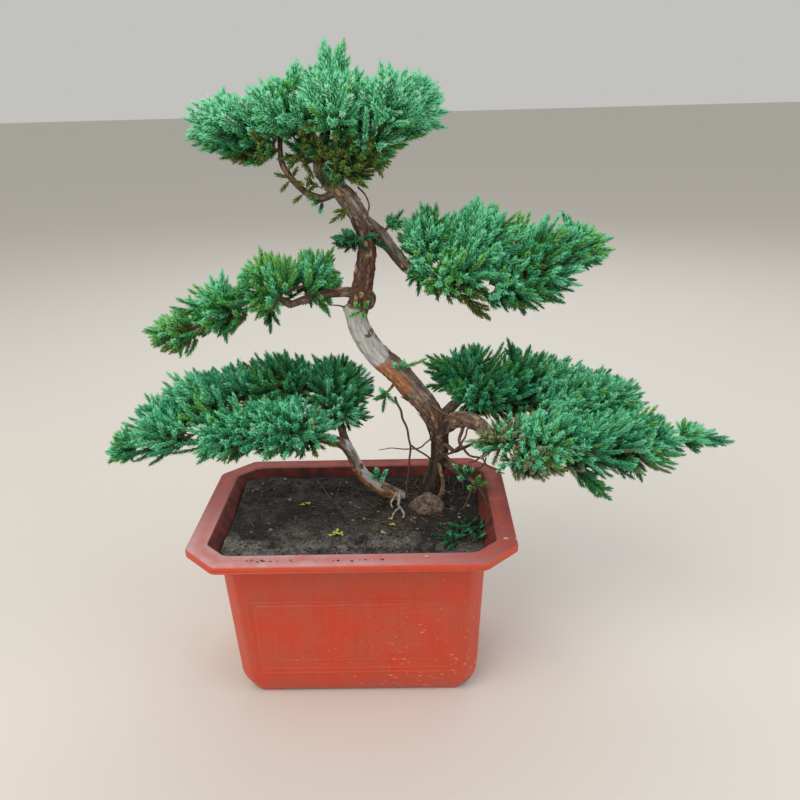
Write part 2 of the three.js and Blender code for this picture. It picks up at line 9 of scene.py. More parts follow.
import bmesh
import bpy
import numpy as np
from mathutils import Matrix, Vector, noise


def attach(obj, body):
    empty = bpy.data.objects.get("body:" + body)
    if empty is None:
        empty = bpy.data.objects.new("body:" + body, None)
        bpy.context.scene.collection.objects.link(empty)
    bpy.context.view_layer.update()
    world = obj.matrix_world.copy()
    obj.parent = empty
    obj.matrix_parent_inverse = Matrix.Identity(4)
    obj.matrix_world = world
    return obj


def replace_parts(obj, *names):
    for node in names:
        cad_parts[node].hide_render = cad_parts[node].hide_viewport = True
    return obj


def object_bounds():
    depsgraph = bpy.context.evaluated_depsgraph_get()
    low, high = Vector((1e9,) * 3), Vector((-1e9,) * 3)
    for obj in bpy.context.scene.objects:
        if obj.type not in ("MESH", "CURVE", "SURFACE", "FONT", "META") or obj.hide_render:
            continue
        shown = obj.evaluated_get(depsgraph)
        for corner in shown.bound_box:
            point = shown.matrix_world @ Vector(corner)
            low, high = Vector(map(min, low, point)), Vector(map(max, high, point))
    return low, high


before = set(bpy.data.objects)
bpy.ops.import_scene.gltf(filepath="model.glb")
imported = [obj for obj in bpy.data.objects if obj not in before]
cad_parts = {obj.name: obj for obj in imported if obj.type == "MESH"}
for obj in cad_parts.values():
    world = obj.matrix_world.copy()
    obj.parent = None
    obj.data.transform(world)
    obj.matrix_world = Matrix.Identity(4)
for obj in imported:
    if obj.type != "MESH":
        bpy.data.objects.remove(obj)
cad_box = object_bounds()

MM = 0.001

# Blender's vector noise starts from the clock unless it gets a seed
NOISE_SEED = 7
noise.seed_set(NOISE_SEED)

# The pot
POT_HEIGHT = 147.6
RIM_HALF_X, RIM_HALF_Y, RIM_CHAMFER = 130, 92.8, 26.4
RIM_FLAT, RIM_OVERHANG, LIP_BAND = 17.7, 24.1, 6.3
WALL, FLOOR_Z = 2.5, 5.5
BASE_INSET, BASE_CURVE_HEIGHT, WALL_LEAN = 14.8, 26, 5.8
BASE_CHAMFER, BODY_CHAMFER = 8.3, 11.2
CORNER_ROUND, CORNER_SLACK = 2.4, 8
FOOT_LENGTH, FOOT_GAP, FOOT_DEPTH = 25, 2.3, 9
DRAIN_RADIUS, DRAIN_OFFSET = 6, 48
PANEL_LOW, PANEL_HIGH, PANEL_MARGIN, PANEL_THICKNESS = 25, 98, 19, 1.4
# A panel's moulded frame lines: distance from its edge, width and share of the relief
FRAME_LINES, FRAME_RELIEF, HILL_MARGIN = ((0, 1.8, 1), (4.5, 1.6, 1), (13, 2, 0.8)), 0.6, 15
# Pieces that stand in the soil end a little under its level
SOIL_LEVEL, UNDER_SOIL = 138, 136
# Half the soil's length and width and its corners' chamfer, to the middle of the pot's wall
SOIL_EDGE, SOIL_THICKNESS = (104.4, 67.2, 10.2), 6
SMOOTH_ANGLE = 38

# Ways that a coloured place of the bark faces. A pale place facing TOP or HIGH_LEFT is partly
# weathered grey bark and partly a painted highlight, a dark place facing UNDERSIDE is painted
# shade, and the rust and the bare wood facing FRONT_TOP are the bark's own colours
FRONT_LEFT_LOW = (-0.6, -0.6, -0.5)
FRONT_TOP = (-0.3, -0.8, 0.4)
TOP = (0.1, -0.4, 0.9)
UNDERSIDE = (0, -0.5, -0.85)
HIGH_LEFT = (-0.5, -0.5, 0.7)
# Limbs from foot to tip: sides, depth of the bark's relief, the centre line as places with
# their radii, and the places of the colours. Such a place is (kind, from, to, strength, facing),
# with from and to in millimetres along the limb, and without a facing it goes all round.
LIMBS = {
    "trunk": (84, 0.85, [(63, 43, 126, 7.4), (66, 39, 147, 7.2), (72, 35, 174, 7),
        (72, 31, 200, 8.2), (62, 26, 227, 9.2), (50, 23, 243, 9.8), (38, 20, 260, 9.8),
        (23, 16, 276, 9.3), (13, 13, 292, 8.7), (7, 11, 308, 8.2), (11, 9, 328, 8.4),
        (15, 6, 346, 7.6), (18, 2, 370, 6.6), (13, -1, 391, 7), (2, -4, 408, 6.9),
        # The dark place at the foot of the trunk, to 88 mm, is partly dark bark and partly painted
        # shade
        (-13, -5, 425, 5.2), (-10, -5, 440, 4.2), (-6, -4, 458, 2.6)], [("dark", -10, 88, 0.9),
        ("ruddy", 60, 96, 0.8), ("rust", 128, 168, 1.0, FRONT_LEFT_LOW),
        ("rust", 84, 128, 0.66, FRONT_LEFT_LOW), ("dark", 86, 150, 0.5),
        ("pale", 106, 168, 0.5, TOP), ("pale", 166, 217, 1.45, FRONT_TOP),
        # The pale place facing HIGH_LEFT, from 290 to 346 mm, is a painted highlight on grey bark
        ("ruddy", 214, 284, 0.95), ("dark", 212, 234, 0.55), ("pale", 290, 346, 0.82, HIGH_LEFT),
        ("ruddy", 346, 380, 0.8)]),
    # The pale top of this bough is a painted highlight on grey bark, and its dark underside is
    # painted shade
    "bough_right_middle": (44, 0.5, [(16, 0, 387, 5.4), (27, 1, 378, 5.2), (36, 2, 366, 4.9),
        (47, 2, 352, 4.5), (57, 3, 343, 3.6)], [("pale", 14, 70, 0.72, TOP),
        ("dark", 6, 75, 0.9, UNDERSIDE)]),
    "bough_left_middle": (36, 0.4, [(9, 9, 330, 4.4), (-1, 6, 332, 4), (-13, 2, 332, 3.6),
        (-31, -4, 329, 3.2), (-43, -4, 325, 2.7)], [("ruddy", 12, 70, 0.8), ("dark", 0, 22, 0.6)]),
    "bough_lower_left": (48, 0.5, [(46, 37, 130, 6), (38, 33, 137, 6.4), (29, 28, 145, 6.2),
        (17, 22, 155, 5.8), (7, 16, 168, 5.4), (0, 11, 184, 4.8), (-7, 3, 203, 4.6),
        (-18, -3, 211, 4.2), (-36, -6, 215, 3.3)], [("rust", 4, 74, 1.25, UNDERSIDE),
        ("pale", 0, 24, 1.3, FRONT_TOP), ("pale", 34, 104, 1.05, TOP), ("ruddy", 98, 160, 0.8)]),
    "bough_lower_left_back": (30, 0.35, [(-5, 5, 199, 3.9), (-9, 16, 206, 3.5),
        (-13, 28, 214, 3.1), (-17, 38, 220, 2.7)], [("ruddy", 0, 60, 0.5)]),
    "bough_lower_right": (56, 0.65, [(72, 31, 203, 7.6), (82, 25, 213, 7.2), (93, 17, 219, 6.8),
        (105, 8, 217, 6), (114, -2, 210, 4.8), (123, -10, 207, 3.8)], [("dark", 0, 22, 0.8),
        ("pale", 18, 60, 0.5, TOP), ("rust", 30, 80, 0.5, UNDERSIDE)]),
    "bough_lower_right_back": (40, 0.5, [(69, 29, 212, 5.8), (78, 38, 216, 5), (87, 50, 220, 4.4),
        (95, 62, 224, 3.6)], [("dark", 0, 50, 0.6)]),
    "bough_crown_left": (30, 0.35, [(-3, -5, 409, 3.3), (-13, -7, 405, 2.9), (-24, -10, 410, 2.5),
        (-33, -13, 420, 2.3), (-39, -14, 431, 2.1), (-40, -8, 446, 1.9)],
        [("ruddy", 22, 80, 0.9)]),
    "bough_crown_right": (24, 0.3, [(-12, -5, 432, 3.2), (-1, -3, 444, 2.8), (12, -1, 453, 2.4),
        (22, 0, 458, 2)], [("ruddy", 0, 60, 0.7)]),
    "dead_stub": (28, 0.4, [(73, 34, 172, 3.6), (82, 31, 168, 3.2), (92, 26, 163, 2.8),
        (102, 19, 157, 2.2), (102, 17, 149, 1.6)], [("dark", 0, 70, 0.5)]),
    "aerial_root": (22, 0.25, [(71, 34, 176, 2.2), (73, 24, 166, 1.9), (75, 22, 156, 1.8),
        (73, 21, 147, 1.8), (68, 22, 132, 2.2)], [("rust", 5, 60, 0.8)]),
}
CUT_STUB = (60, 0.5, [(13, 13, 294, 8), (6, 11, 311, 7.6), (2, 11, 321, 6.2)],
            [("pale", 4, 40, 1.3)])
FLARE_SWELL, FLARE_HEIGHT = 0.55, 13
FLUTE_DEPTH, FLUTE_COUNT, FLUTE_WIND = 0.09, 3, 6
# A colour fades over this length at the ends of its place and keeps this share of its strength
COLOUR_FADE, COLOUR_SHARE = 8, 0.62
# The bark's pattern is drawn out along a limb, where its fibres run
BARK_DRAWN_OUT = 0.09
# Loose flakes of bark on a limb, but none where it is bare wood, paler than this
FLAKES = {"trunk": 120, "bough_lower_left": 26, "bough_lower_right": 26, "bough_right_middle": 12}
FLAKE_FLATNESS, BARE_WOOD = 0.82, 1.2
ROOT_CROWN_CENTRE, ROOT_CROWN_HALF = (61, 12, 138), (15, 12.5, 12)
ROOT_CROWN_LOOK = {"pale": 0.03, "dark": 0.36, "ruddy": 0.28, "furrow": 0.2}
ROOT_CROWN_RUST = 0.2

# Foliage masses: carrier, seed, tone, lobes, fill lobes, leaders and what is special. Each
# grows from one stem that meets its carrier, through its lobes in turn. A lobe is a centre and
# its reach along X, Y and Z, and fill lobes close the gaps between the others. A leader is the
# tip of a plume, which starts in the nearest lobe or at a given place. The tone is how a mass's
# shoots are coloured, unless a lobe names its own. Twigs fan out from the source, or from the
# stem's root.
MASSES = {
    "crown_top": ("trunk", 31, "crown", [(0, -2, 465, 32, 62, 30)], [], [(-5, -5, 514),
        (8, -8, 511), (-2, 24, 502), (1, -8, 503), (-14, -8, 498), (-8, -4, 512), (9, -2, 513)],
        {"source": (2, 6, 430)}),
    "crown_left": ("bough_crown_left", 13, "crown", [(-38, 5, 462, 33, 60, 27),
        (-77, 0, 456, 31, 50, 21, "pale")], [(-54, -10, 442, 30, 26, 14, "shade")],
        [(-109, -5, 447), (-24, 0, 501), (-82, 2, 480), (-70, 46, 474), (-20, -8, 496),
        (-96, 0, 474), (-78, -6, 485), (-22, -14, 499), (-84, -18, 434, -52, -6, 442),
        (-66, -24, 429, -44, -8, 440), (-100, -14, 440, -66, -4, 446)], {"source": (2, 6, 436)}),
    "crown_right": ("bough_crown_right", 23, "crown", [(42, 0, 464, 38, 54, 27, "pale")],
        [(24, -14, 444, 22, 26, 14)], [(83, -5, 461), (31, 2, 499), (38, -4, 498), (58, 34, 480),
        (78, -2, 470), (80, -12, 450)], {"source": (2, 6, 436)}),
    "under_crown": ("trunk", 3, "shade", [(7, -15, 428, 19, 24, 22)], [(-25, -13, 437, 17, 14, 15),
        (24, -16, 436, 19, 20, 15), (-6, -18, 440, 20, 14, 14)], [(33, -15, 417), (22, -24, 412),
        (-4, -26, 410), (-36, -18, 424), (4, -34, 454, 2, -12, 432), (18, -32, 450, 8, -12, 430),
        (-38, -22, 447, -18, -10, 436), (-26, -27, 455, -12, -10, 434),
        (-14, -28, 451, -6, -10, 432), (-31, -22, 437, -12, -8, 430), (-20, -24, 444, -6, -8, 428),
        (-16, -20, 418), (40, -12, 428), (-44, -16, 432)], {"from_side": True}),
    "right_middle": ("bough_right_middle", 60, "bright", [(66, 10, 366, 26, 40, 31),
        (104, 5, 362, 33, 52, 36), (146, -5, 352, 35, 50, 36), (178, 0, 364, 24, 32, 17)],
        [(84, -22, 348, 34, 24, 20), (124, -24, 340, 30, 24, 18)], [(205, 0, 370),
        (113, -2, 307, 84, -10, 336), (138, -5, 311, 124, -14, 342), (55, 0, 327), (59, 12, 401),
        (102, 6, 406), (162, 2, 392), (62, -8, 330), (96, 4, 403), (72, 6, 400), (47, -4, 346),
        (48, -6, 336)], {}),
    "left_middle": ("bough_left_middle", 67, "fresh", [(-59, 5, 336, 33, 42, 27),
        (-24, 15, 339, 21, 34, 28), (-96, 0, 321, 30, 38, 24), (-131, -5, 305, 27, 30, 18)], [],
        [(-162, -5, 306), (-61, 0, 299), (-7, 17, 367), (-64, 6, 371), (-105, 6, 350),
        (-128, -16, 286), (-92, -14, 296), (-12, -8, 314), (-94, 4, 355), (-69, -14, 314),
        (-49, -14, 318)], {"parents": (0, 0, 0, 2)}),
    "lower_left": ("bough_lower_left", 81, "blue", [(-55, -18, 229, 46, 44, 22),
        (-123, 15, 238, 45, 48, 29), (-147, -15, 226, 36, 38, 21), (-183, -12, 212, 18, 24, 16)],
        [(-98, -22, 224, 38, 36, 20), (-98, 26, 246, 30, 30, 22),
        (-34, -14, 219, 22, 18, 9, "dry")], [(-203, -10, 195), (-181, -12, 196), (-98, -42, 207),
        (-112, 45, 262), (-160, 15, 252), (-66, -50, 212), (-120, -44, 208), (-160, -8, 258),
        (-182, -8, 234)], {}),
    # This mass lies behind the others, and its deep tone paints the shade that falls on it
    "lower_left_back": ("bough_lower_left_back", 83, "deep", [(-15, 55, 234, 33, 42, 30),
        (-62, 45, 240, 45, 52, 32)], [(-12, 28, 222, 30, 26, 15)], [(-77, 56, 272), (-5, 60, 264),
        (-38, 92, 252), (18, 44, 238), (-100, 48, 262)], {}),
    "lower_right": ("bough_lower_right", 101, "mixed", [(154, -22, 215, 40, 40, 25),
        (225, -5, 206, 42, 45, 28), (272, -2, 207, 24, 15, 10)], [(190, -14, 206, 34, 38, 25),
        (254, -3, 206, 28, 20, 14), (122, -8, 210, 28, 22, 17, "dry"),
        (142, -34, 202, 34, 20, 14, "dry")], [(315, 0, 200), (296, -4, 198), (290, -2, 214),
        (262, 0, 222), (150, -60, 208), (128, -34, 196), (232, -30, 178),
        (212, -21, 158, 166, -30, 206), (205, -24, 166, 166, -30, 206)], {}),
    # This mass lies behind the others, and its deep tone paints the shade that falls on it
    "lower_right_back": ("bough_lower_right_back", 103, "deep", [(103, 75, 233, 36, 45, 32),
        (150, 58, 230, 45, 55, 34), (204, 40, 223, 46, 50, 28)], [(112, 34, 230, 32, 28, 18),
        (172, 14, 222, 36, 28, 20, "mixed"), (206, 30, 226, 42, 40, 26, "mixed"),
        (166, 44, 236, 36, 36, 24, "blue")], [(132, 70, 275), (60, 80, 256), (110, 76, 269),
        (216, 58, 252), (165, 108, 246), (58, 62, 246), (72, 44, 236), (57, 58, 256),
        (58, 60, 231), (112, 16, 222, 128, 34, 232), (104, 22, 226, 124, 40, 232)], {}),
    "fork_tuft": ("trunk", 3, "dark", [(9, -9, 374, 14, 9, 8)], [], [(-8, -14, 372),
        (30, -12, 378), (2, -20, 366), (22, -18, 366)], {"from_side": True}),
    "fork_sprig": ("bough_right_middle", 113, "deep", [(37, -2, 384, 8, 8, 7)], [], [(48, -4, 396),
        (44, -8, 388)], {"from_side": True}),
    "trunk_sprig": ("trunk", 127, "fresh", [(28, 8, 246, 8, 7, 7)], [], [(25, 2, 230),
        (38, 0, 238), (16, 2, 242), (32, -2, 248)], {"from_side": True}),
}
STRETCH, CROWN_STRETCH = 1.08, 1.3
SIDE_STEM = 1.8
LOWEST_TWIG = -0.82
NEIGHBOUR_SHARE = 0.75
GOLDEN_ANGLE = math.pi * (3 - math.sqrt(5))
TWIG_SPACING, TWIG_SHARE = 15.5, (0.4, 0.72)
SMALL_REACH = 13
BORDER_GIVE = 12
SHOOT_STEP, DRESSED_SHARE = 5.5, 0.7
# How far out a spray may reach in its lobe, and how much that swings from clump to clump
RIM, RIM_SWING, CLUMP_SCALE = (0.93, 1.06), 0.34, 0.042
SMALL_RIM = 1.3
# Sprays in the same clump mostly share their tints
CLUMP_SIZE, CLUMP_SHARE = 21, 0.6
HIDDEN_DEPTH = 0.6
PLUME_SHOOTS, PLUME_REACH, PLUME_TIP = 16, 38, 13
SHOOT_LENGTHS = (9, 12, 15, 18, 22, 26, 31)
WHORL_STEP = 2.4
NEEDLE_LENGTH, NEEDLE_WIDTH, NEEDLE_THICKNESS = 5.4, 1.95, 0.5
TIP_NEEDLES = 1.6
# The model's box in millimetres, less the needles that stand out from a shoot's tip
BOX_LOW, BOX_HIGH = (np.array(corner) / MM + give for corner, give in zip(cad_box, (2, -2)))
MOST_TRIANGLES = 190000
# The longest shoots of a spray: the one that carries its twig on, and those that lean off it
LEAD_SHOOT, SIDE_SHOOT, SIDE_LEAN = 26, (15, 24), (24, 50)
# Radii along a twig, a leader's twig and a shoot's stem
TWIG_RADII, LEADER_RADII = (0.9, 0.8, 0.7, 0.6, 0.5), (1, 0.9, 0.8, 0.65, 0.5)
SHOOT_RADII = (0.55, 0.46, 0.25)

# How the shoots of each tone are coloured: older needles, tip and their share in per cent, on
# the top and rim, and inside and below, where the darker colours are partly older needles and
# partly painted shade
TONES = {
    "crown": (
        "teal pale 20, teal teal 24, blue teal 26, green green 8, green teal 16, green fresh 6",
        "mid green 35, blue teal 20, olive olive 20, deep mid 25"),
    "pale": (
        "teal pale 36, teal teal 32, blue teal 32",
        "mid green 25, blue teal 45, deep mid 30"),
    "bright": (
        "blue teal 34, green green 14, green teal 18, green fresh 10, mid blue 16, teal teal 8",
        "deep mid 50, mid green 24, olive olive 18, brown olive 8"),
    "blue": (
        "blue teal 27, blue blue 16, mid blue 30, green fresh 5, mid teal 14, teal teal 8",
        "deep mid 50, mid green 22, olive olive 20, brown olive 8"),
    "fresh": (
        "green fresh 32, mid green 24, blue teal 38, olive fresh 6",
        "deep mid 40, olive green 30, brown olive 15, mid green 15"),
    "mixed": (
        "green teal 18, green fresh 14, blue teal 34, mid blue 18, teal teal 8, green green 8",
        "deep mid 40, mid green 20, olive dull 20, brown olive 20"),
    "deep": (
        "deep mid 26, mid blue 24, mid green 34, blue teal 16",
        "deep deep 50, deep mid 30, olive olive 12, brown olive 8"),
    "shade": (
        "mid olive 30, olive olive 30, deep mid 25, olive green 15",
        "olive olive 40, brown olive 35, deep mid 25"),
    "dark": (
        "deep mid 60, deep deep 40",
        "deep deep 70, brown olive 30"),
    "dry": (
        "olive dull 34, brown dull 16, mid teal 20, deep mid 30",
        "brown dull 30, olive olive 30, deep deep 40"),
}
# Small growth that is too thin for a solid: foot, tips, older colour and tip colour
SPROUTS = [
    ((12, 0, 318), [(8, -8, 326), (19, -8, 328), (14, -12, 316), (4, -6, 316)], "fresh", "fresh"),
    ((38, 18, 264), [(46, 12, 268), (60, 20, 269)], "green", "fresh"),
    ((40, 15, 262), [(44, 6, 274), (36, 4, 272)], "blue", "teal"),
    ((20, 20, 162), [(17, 12, 176), (27, 12, 174), (12, 12, 170), (24, 8, 168)], "blue", "teal"),
    ((97, 22, 162), [(84, 10, 178), (92, 6, 178), (100, 10, 176), (88, 6, 168)], "mid", "teal"),
    ((100, 17, 156), [(112, 8, 163), (106, 5, 170), (96, 4, 160)], "green", "fresh"),
    ((-33, -14, 420), [(-44, -20, 424), (-40, -22, 412), (-27, -22, 428), (-24, -22, 416)],
     "olive", "olive"),
    ((-24, -11, 410), [(-14, -20, 416), (-18, -20, 424), (-33, -20, 403), (-16, -18, 406)],
     "olive", "olive"),
    ((-12, -8, 412), [(-4, -18, 422), (-22, -18, 419), (-12, -20, 428)], "mid", "olive"),
    ((-12, -6, 404), [(-18, -14, 402), (-24, -14, 406), (-14, -14, 396)], "deep", "blue"),
    ((6, -9, 398), [(-2, -14, 396), (2, -16, 392), (-6, -12, 388)], "olive", "olive"),
    ((20, 4, 372), [(28, -6, 372), (33, -4, 366), (24, -8, 378)], "deep", "mid"),
]
# Thin twigs and dry rootlets, and bare rootlets: lines with their thickest and thinnest radius
THIN_TWIGS = [
    ([(14, -5, 412), (19, -13, 407), (22, -14, 399), (18, -14, 388), (16, -13, 372),
     (13, -13, 357)], 0.7, 0.5),
    ([(36, 14, 240), (38, 16, 233), (43, 16, 215), (47, 16, 196), (46, 18, 176), (43, 20, 153),
     (42, 22, 139)], 1.1, 0.7),
    ([(47, 16, 196), (60, 21, 184), (70, 24, 174)], 0.9, 0.8),
    ([(66, 24, 199), (52, 14, 193), (34, 15, 194), (20, 16, 192)], 0.8, 0.3),
    ([(-40, 59, 140), (-25, 27, 141), (-13, 5, 141), (-3, -13, 139)], 0.7, 0.4),
    ([(-18, 54, 143), (-21, 23, 139)], 0.6, 0.4),
    ([(102, 20, 156), (108, 12, 152), (111, 6, 146), (113, 2, 139)], 1.1, 0.6),
    ([(100, 18, 152), (95, 10, 145), (92, 4, 140)], 0.9, 0.5),
    ([(-1, 8, 319), (-9, 2, 323), (-16, -2, 324)], 0.8, 0.3),
    ([(72, 30, 196), (84, 20, 188), (96, 14, 196), (108, 6, 205), (120, -4, 206)], 2.1, 0.9),
    ([(70, 28, 188), (82, 18, 180), (96, 14, 172), (106, 12, 176)], 1.9, 0.7),
    ([(94, 14, 216), (88, 8, 202), (96, 6, 191), (107, 4, 188)], 1.7, 0.7),
    ([(106, 6, 214), (112, 0, 203), (107, 0, 192), (97, 6, 183)], 1.4, 0.6),
    ([(73, 24, 182), (84, 14, 190), (92, 8, 204), (96, 6, 216)], 1.2, 0.7),
    ([(112, -4, 206), (106, -10, 197), (112, -14, 188), (124, -16, 184)], 1.1, 0.5),
    ([(92, 24, 162), (98, 16, 171), (107, 8, 178), (110, 2, 190)], 1.2, 0.6),
    ([(62, 20, 236), (74, 12, 226), (88, 8, 222), (98, 2, 216)], 1.2, 0.7),
    ([(15, 5, 341), (18, 4, 332), (19, 4, 324), (15, 5, 314)], 3.7, 1.0),
    ([(17, 4, 334), (21, 3, 328), (21, 3, 321), (17, 4, 318)], 2.6, 0.9),
    ([(22, -18, 428), (30, -22, 440), (34, -20, 450)], 0.5, 0.3),
    ([(24, -14, 420), (31, -18, 432), (33, -22, 446)], 0.4, 0.3),
]
BARE_ROOTLETS = [
    ([(36, 26, 145), (37, 18, 143), (36, 9, 140), (41, 0, 140), (40, -7, 139)], 1.7, 0.8),
    ([(33, 24, 143), (29, 16, 141), (31, 9, 140)], 1.2, 0.6),
    ([(37, 8, 141), (32, 1, 140), (31, -3, 139)], 1.0, 0.5),
]
# How many crumbs, dry sticks and clippings lie on the soil, and the middle of the clippings
CRUMBS, STICKS, CLIPPINGS, CLIPPINGS_MIDDLE = 1500, 150, 26, (96, -34)
# Seedlings of weeds: place on the soil and length of their leaves
SEEDLINGS = ((-14, -32, 4.6), (-10, -36, 3.6), (-18, -35, 3.4), (24, -35, 2.6), (31, -19, 2.8),
             (30, -9, 3), (-44, 17, 3.2), (-48, 15, 2.6))
# Splashes on the lip: middle, spread along X and number
SPLASHES = (((89, -90), 4.5, 9), ((124, -57), 5, 9), ((-90, -78), 4, 4), ((60, -82), 1.5, 2),
            ((18, -86), 1.2, 2), ((-60, -84), 22, 10), ((0, -85), 26, 8))

# The camera was worked out from the corners of the pot in the photo
EYE = (53.68, -602.72, 476.06)
RIGHT, UPWARD = (0.99958, 0.01296, -0.02587), (0.01947, 0.36042, 0.93259)
FORWARD = (-0.02141, 0.9327, -0.36002)
SENSOR_WIDTH, LENS = 36, 35.96
# The studio in metres: lights by place, size, power and colour, aimed at one place, and the sky
LIGHTS = (((-0.9, -1.1, 1.7), 1.6, 26, "#fff6ec"), ((1.3, -0.7, 1.1), 1.4, 9, "#eef3ff"),
          ((0.2, 1.2, 1.5), 1.6, 10, "#ffffff"))
AIM, FLOOR_SIZE = (0.03, 0, 0.25), 40
SKY_COLOUR, SKY_STRENGTH = "#dddcd8", 0.75

# Materials

# A mix of two colours: its third output and its kind
RGBA = {"out": 2, "data_type": "RGBA"}


def linear(hex_colour):
    """An sRGB hex colour as the linear values that a shader takes."""
    channels = [int(hex_colour[i:i + 2], 16) / 255 for i in (1, 3, 5)]
    return tuple(c / 12.92 if c <= 0.04045 else ((c + 0.055) / 1.055) ** 2.4
                 for c in channels) + (1,)


class Look:
    """One material while its nodes are made."""

    def __init__(self, name, base, roughness, ior=1.5):
        self.material = bpy.data.materials.new(name)
        self.material.use_nodes = True
        self.tree = self.material.node_tree
        self.surface = self.tree.nodes["Principled BSDF"].inputs
        self.fill(self.surface, {"Base Color": base, "Roughness": roughness, "IOR": ior})

    def fill(self, sockets, values):
        """Links sockets to others, or gives them values or sRGB hex colours."""
        for key, value in values.items():
            if isinstance(value, bpy.types.NodeSocket):
                self.tree.links.new(value, sockets[key])
            else:
                sockets[key].default_value = linear(value) if isinstance(value, str) else value

    def add(self, kind, inputs=None, out=0, **settings):
        """Adds a node, sets its options and sockets, and returns one output or all of them."""
        made = self.tree.nodes.new("ShaderNode" + kind)
        for key, value in settings.items():
            setattr(made, key, value)
        self.fill(made.inputs, inputs or {})
        return made.outputs if out is None else made.outputs[out]

    def spots(self, place, scale, detail, roughness, low, high, least=0.0, most=1.0):
        """A noise and its share, which goes from least at low to most at high."""
        tones = self.add("TexNoise", {"Vector": place, "Scale": scale, "Detail": detail,
                                      "Roughness": roughness})
        return tones, self.add("MapRange", {"Value": tones, "From Min": low, "From Max": high,
                                            "To Min": least, "To Max": most})

    def done(self, colour, height, strength, distance):
        """The finished material, with its colour and a bump of a height."""
        bump = self.add("Bump", {"Strength": strength, "Distance": distance, "Height": height})
        self.fill(self.surface, {"Base Color": colour, "Normal": bump})
        return self.material


def moulded_plastic():
    """Injection-moulded polypropylene: satin, with faint clouding, dried splashes and dust.

    The dust on the lip also carries a painted highlight at the front and painted shade behind.
    """
    look = Look("moulded_polypropylene", "#c94023", 0.42, 1.49)
    add = look.add
    place = add("TexCoord", out="Object")
    at = add("SeparateXYZ", {"Vector": place}, None)
    # Clouds of wear about 30 mm across, and rain streaks down the walls, 4 mm wide
    _, cloud = look.spots(place, 34.0, 4.0, 0.6, 0.4, 0.72, most=0.75)
    drawn_out = add("Mapping", {"Vector": place, "Scale": (1.0, 1.0, 0.12)})
    _, streak = look.spots(drawn_out, 210.0, 3.0, 0.5, 0.5, 0.8, most=0.25)
    # Dried soil splashes, 4 by 1.5 mm, thicker towards the low right of the front
    flattened = add("Mapping", {"Vector": place, "Scale": (1.0, 1.0, 2.6)})
    specks = add("TexVoronoi", {"Vector": flattened, "Scale": 105.0})
    spread = add("TexNoise", {"Vector": place, "Scale": 60.0, "Detail": 4.0})
    right = add("MapRange", {"Value": at["X"], "From Min": -0.09, "From Max": 0.11,
                             "To Max": 0.27})
    low = add("MapRange", {"Value": at["Z"], "From Min": 0.11, "From Max": 0.0, "To Max": 0.25})
    amount = add("Math", {0: right, 1: low}, operation="ADD")
    size = add("Math", {0: amount, 1: spread}, operation="MULTIPLY")
    near = add("Math", {0: size, 1: specks}, operation="SUBTRACT")
    speck = add("MapRange", {"Value": near, "From Min": 0.0, "From Max": 0.08, "To Max": 0.65})
    # Dust on top of the lip, with painted light in its colour: a painted highlight makes it pale
    # at the front left, and painted shade makes it dull red at the back and redder at the right
    top = add("MapRange", {"Value": at["Z"], "From Min": POT_HEIGHT * MM - 0.0008,
                           "From Max": POT_HEIGHT * MM})
    _, patch = look.spots(place, 60.0, 6.0, 0.65, 0.3, 0.62, 0.45, 0.95)
    dust = add("Math", {0: top, 1: patch}, operation="MULTIPLY")
    front = add("MapRange", {"Value": at["Y"], "From Min": 0.05, "From Max": -0.085})
    right = add("MapRange", {"Value": at["X"], "From Min": -0.06, "From Max": 0.125,
                             "To Max": 0.85})
    dust_and_painted_light = add("Mix", {0: front, 6: "#7c504e", 7: "#d3b2b8"}, **RGBA)
    dust_and_painted_light = add("Mix", {0: right, 6: dust_and_painted_light, 7: "#7a342f"}, **RGBA)
    colour = "#c94023"
    for share, tint in ((cloud, "#b8553b"), (streak, "#9c3322"), (speck, "#e0ad86"),
                        (dust, dust_and_painted_light)):
        colour = add("Mix", {0: share, 6: colour, 7: tint}, **RGBA)
    gloss = add("MapRange", {"Value": dust, "To Min": 0.4, "To Max": 0.85})
    look.fill(look.surface, {"Roughness": gloss})
    # Orange-peel of the mould, 3 mm
    peel = add("TexNoise", {"Vector": place, "Scale": 330.0, "Detail": 2.0})
    return look.done(colour, peel, 0.12, 0.0004)


def potting_soil():
    """Damp potting soil: matte, dark grey-brown, paler where its crust has dried.

    It also carries a painted highlight at the front and painted shadow at the back right.
    """
    look = Look("damp_potting_soil", "#4a423b", 0.95)
    add = look.add
    place = add("TexCoord", out="Object")
    at = add("SeparateXYZ", {"Vector": place}, None)
    # Dry crust in patches of 25 mm, with a painted highlight that makes it palest at the front
    crust, dried = look.spots(place, 40.0, 5.0, 0.7, 0.43, 0.6)
    front_painted_highlight = add("MapRange", {"Value": at["Y"], "From Min": -0.015, "From Max": -0.05,
                             "To Max": 0.75})
    crust_painted_highlight = add("Math", {0: front_painted_highlight, 1: dried}, operation="MULTIPLY")
    # It is nearly black round the foot of the trunk and towards the back right: partly wet soil
    # and partly painted shadow
    edge = add("Math", {0: at["X"], 1: at["Y"]}, operation="ADD")
    ragged = add("Math", {0: crust, 1: -0.06, 2: edge}, operation="MULTIPLY_ADD")
    wet_and_painted_shadow = add("MapRange", {"Value": ragged, "From Min": -0.02, "From Max": 0.04,
                           "To Max": 0.95})
    colour = "#272523"
    for share, tint in ((dried, "#64615c"), (crust_painted_highlight, "#aaa7a2"), (wet_and_painted_shadow, "#110f0d")):
        colour = add("Mix", {0: share, 6: colour, 7: tint}, **RGBA)
    # Grains of 1.5 mm
    grains, grain = look.spots(place, 650.0, 4.0, 0.75, 0.35, 0.7)
    colour = add("Mix", {0: grain, 6: "#191512", 7: colour}, **RGBA)
    return look.done(colour, grains, 0.8, 0.001)


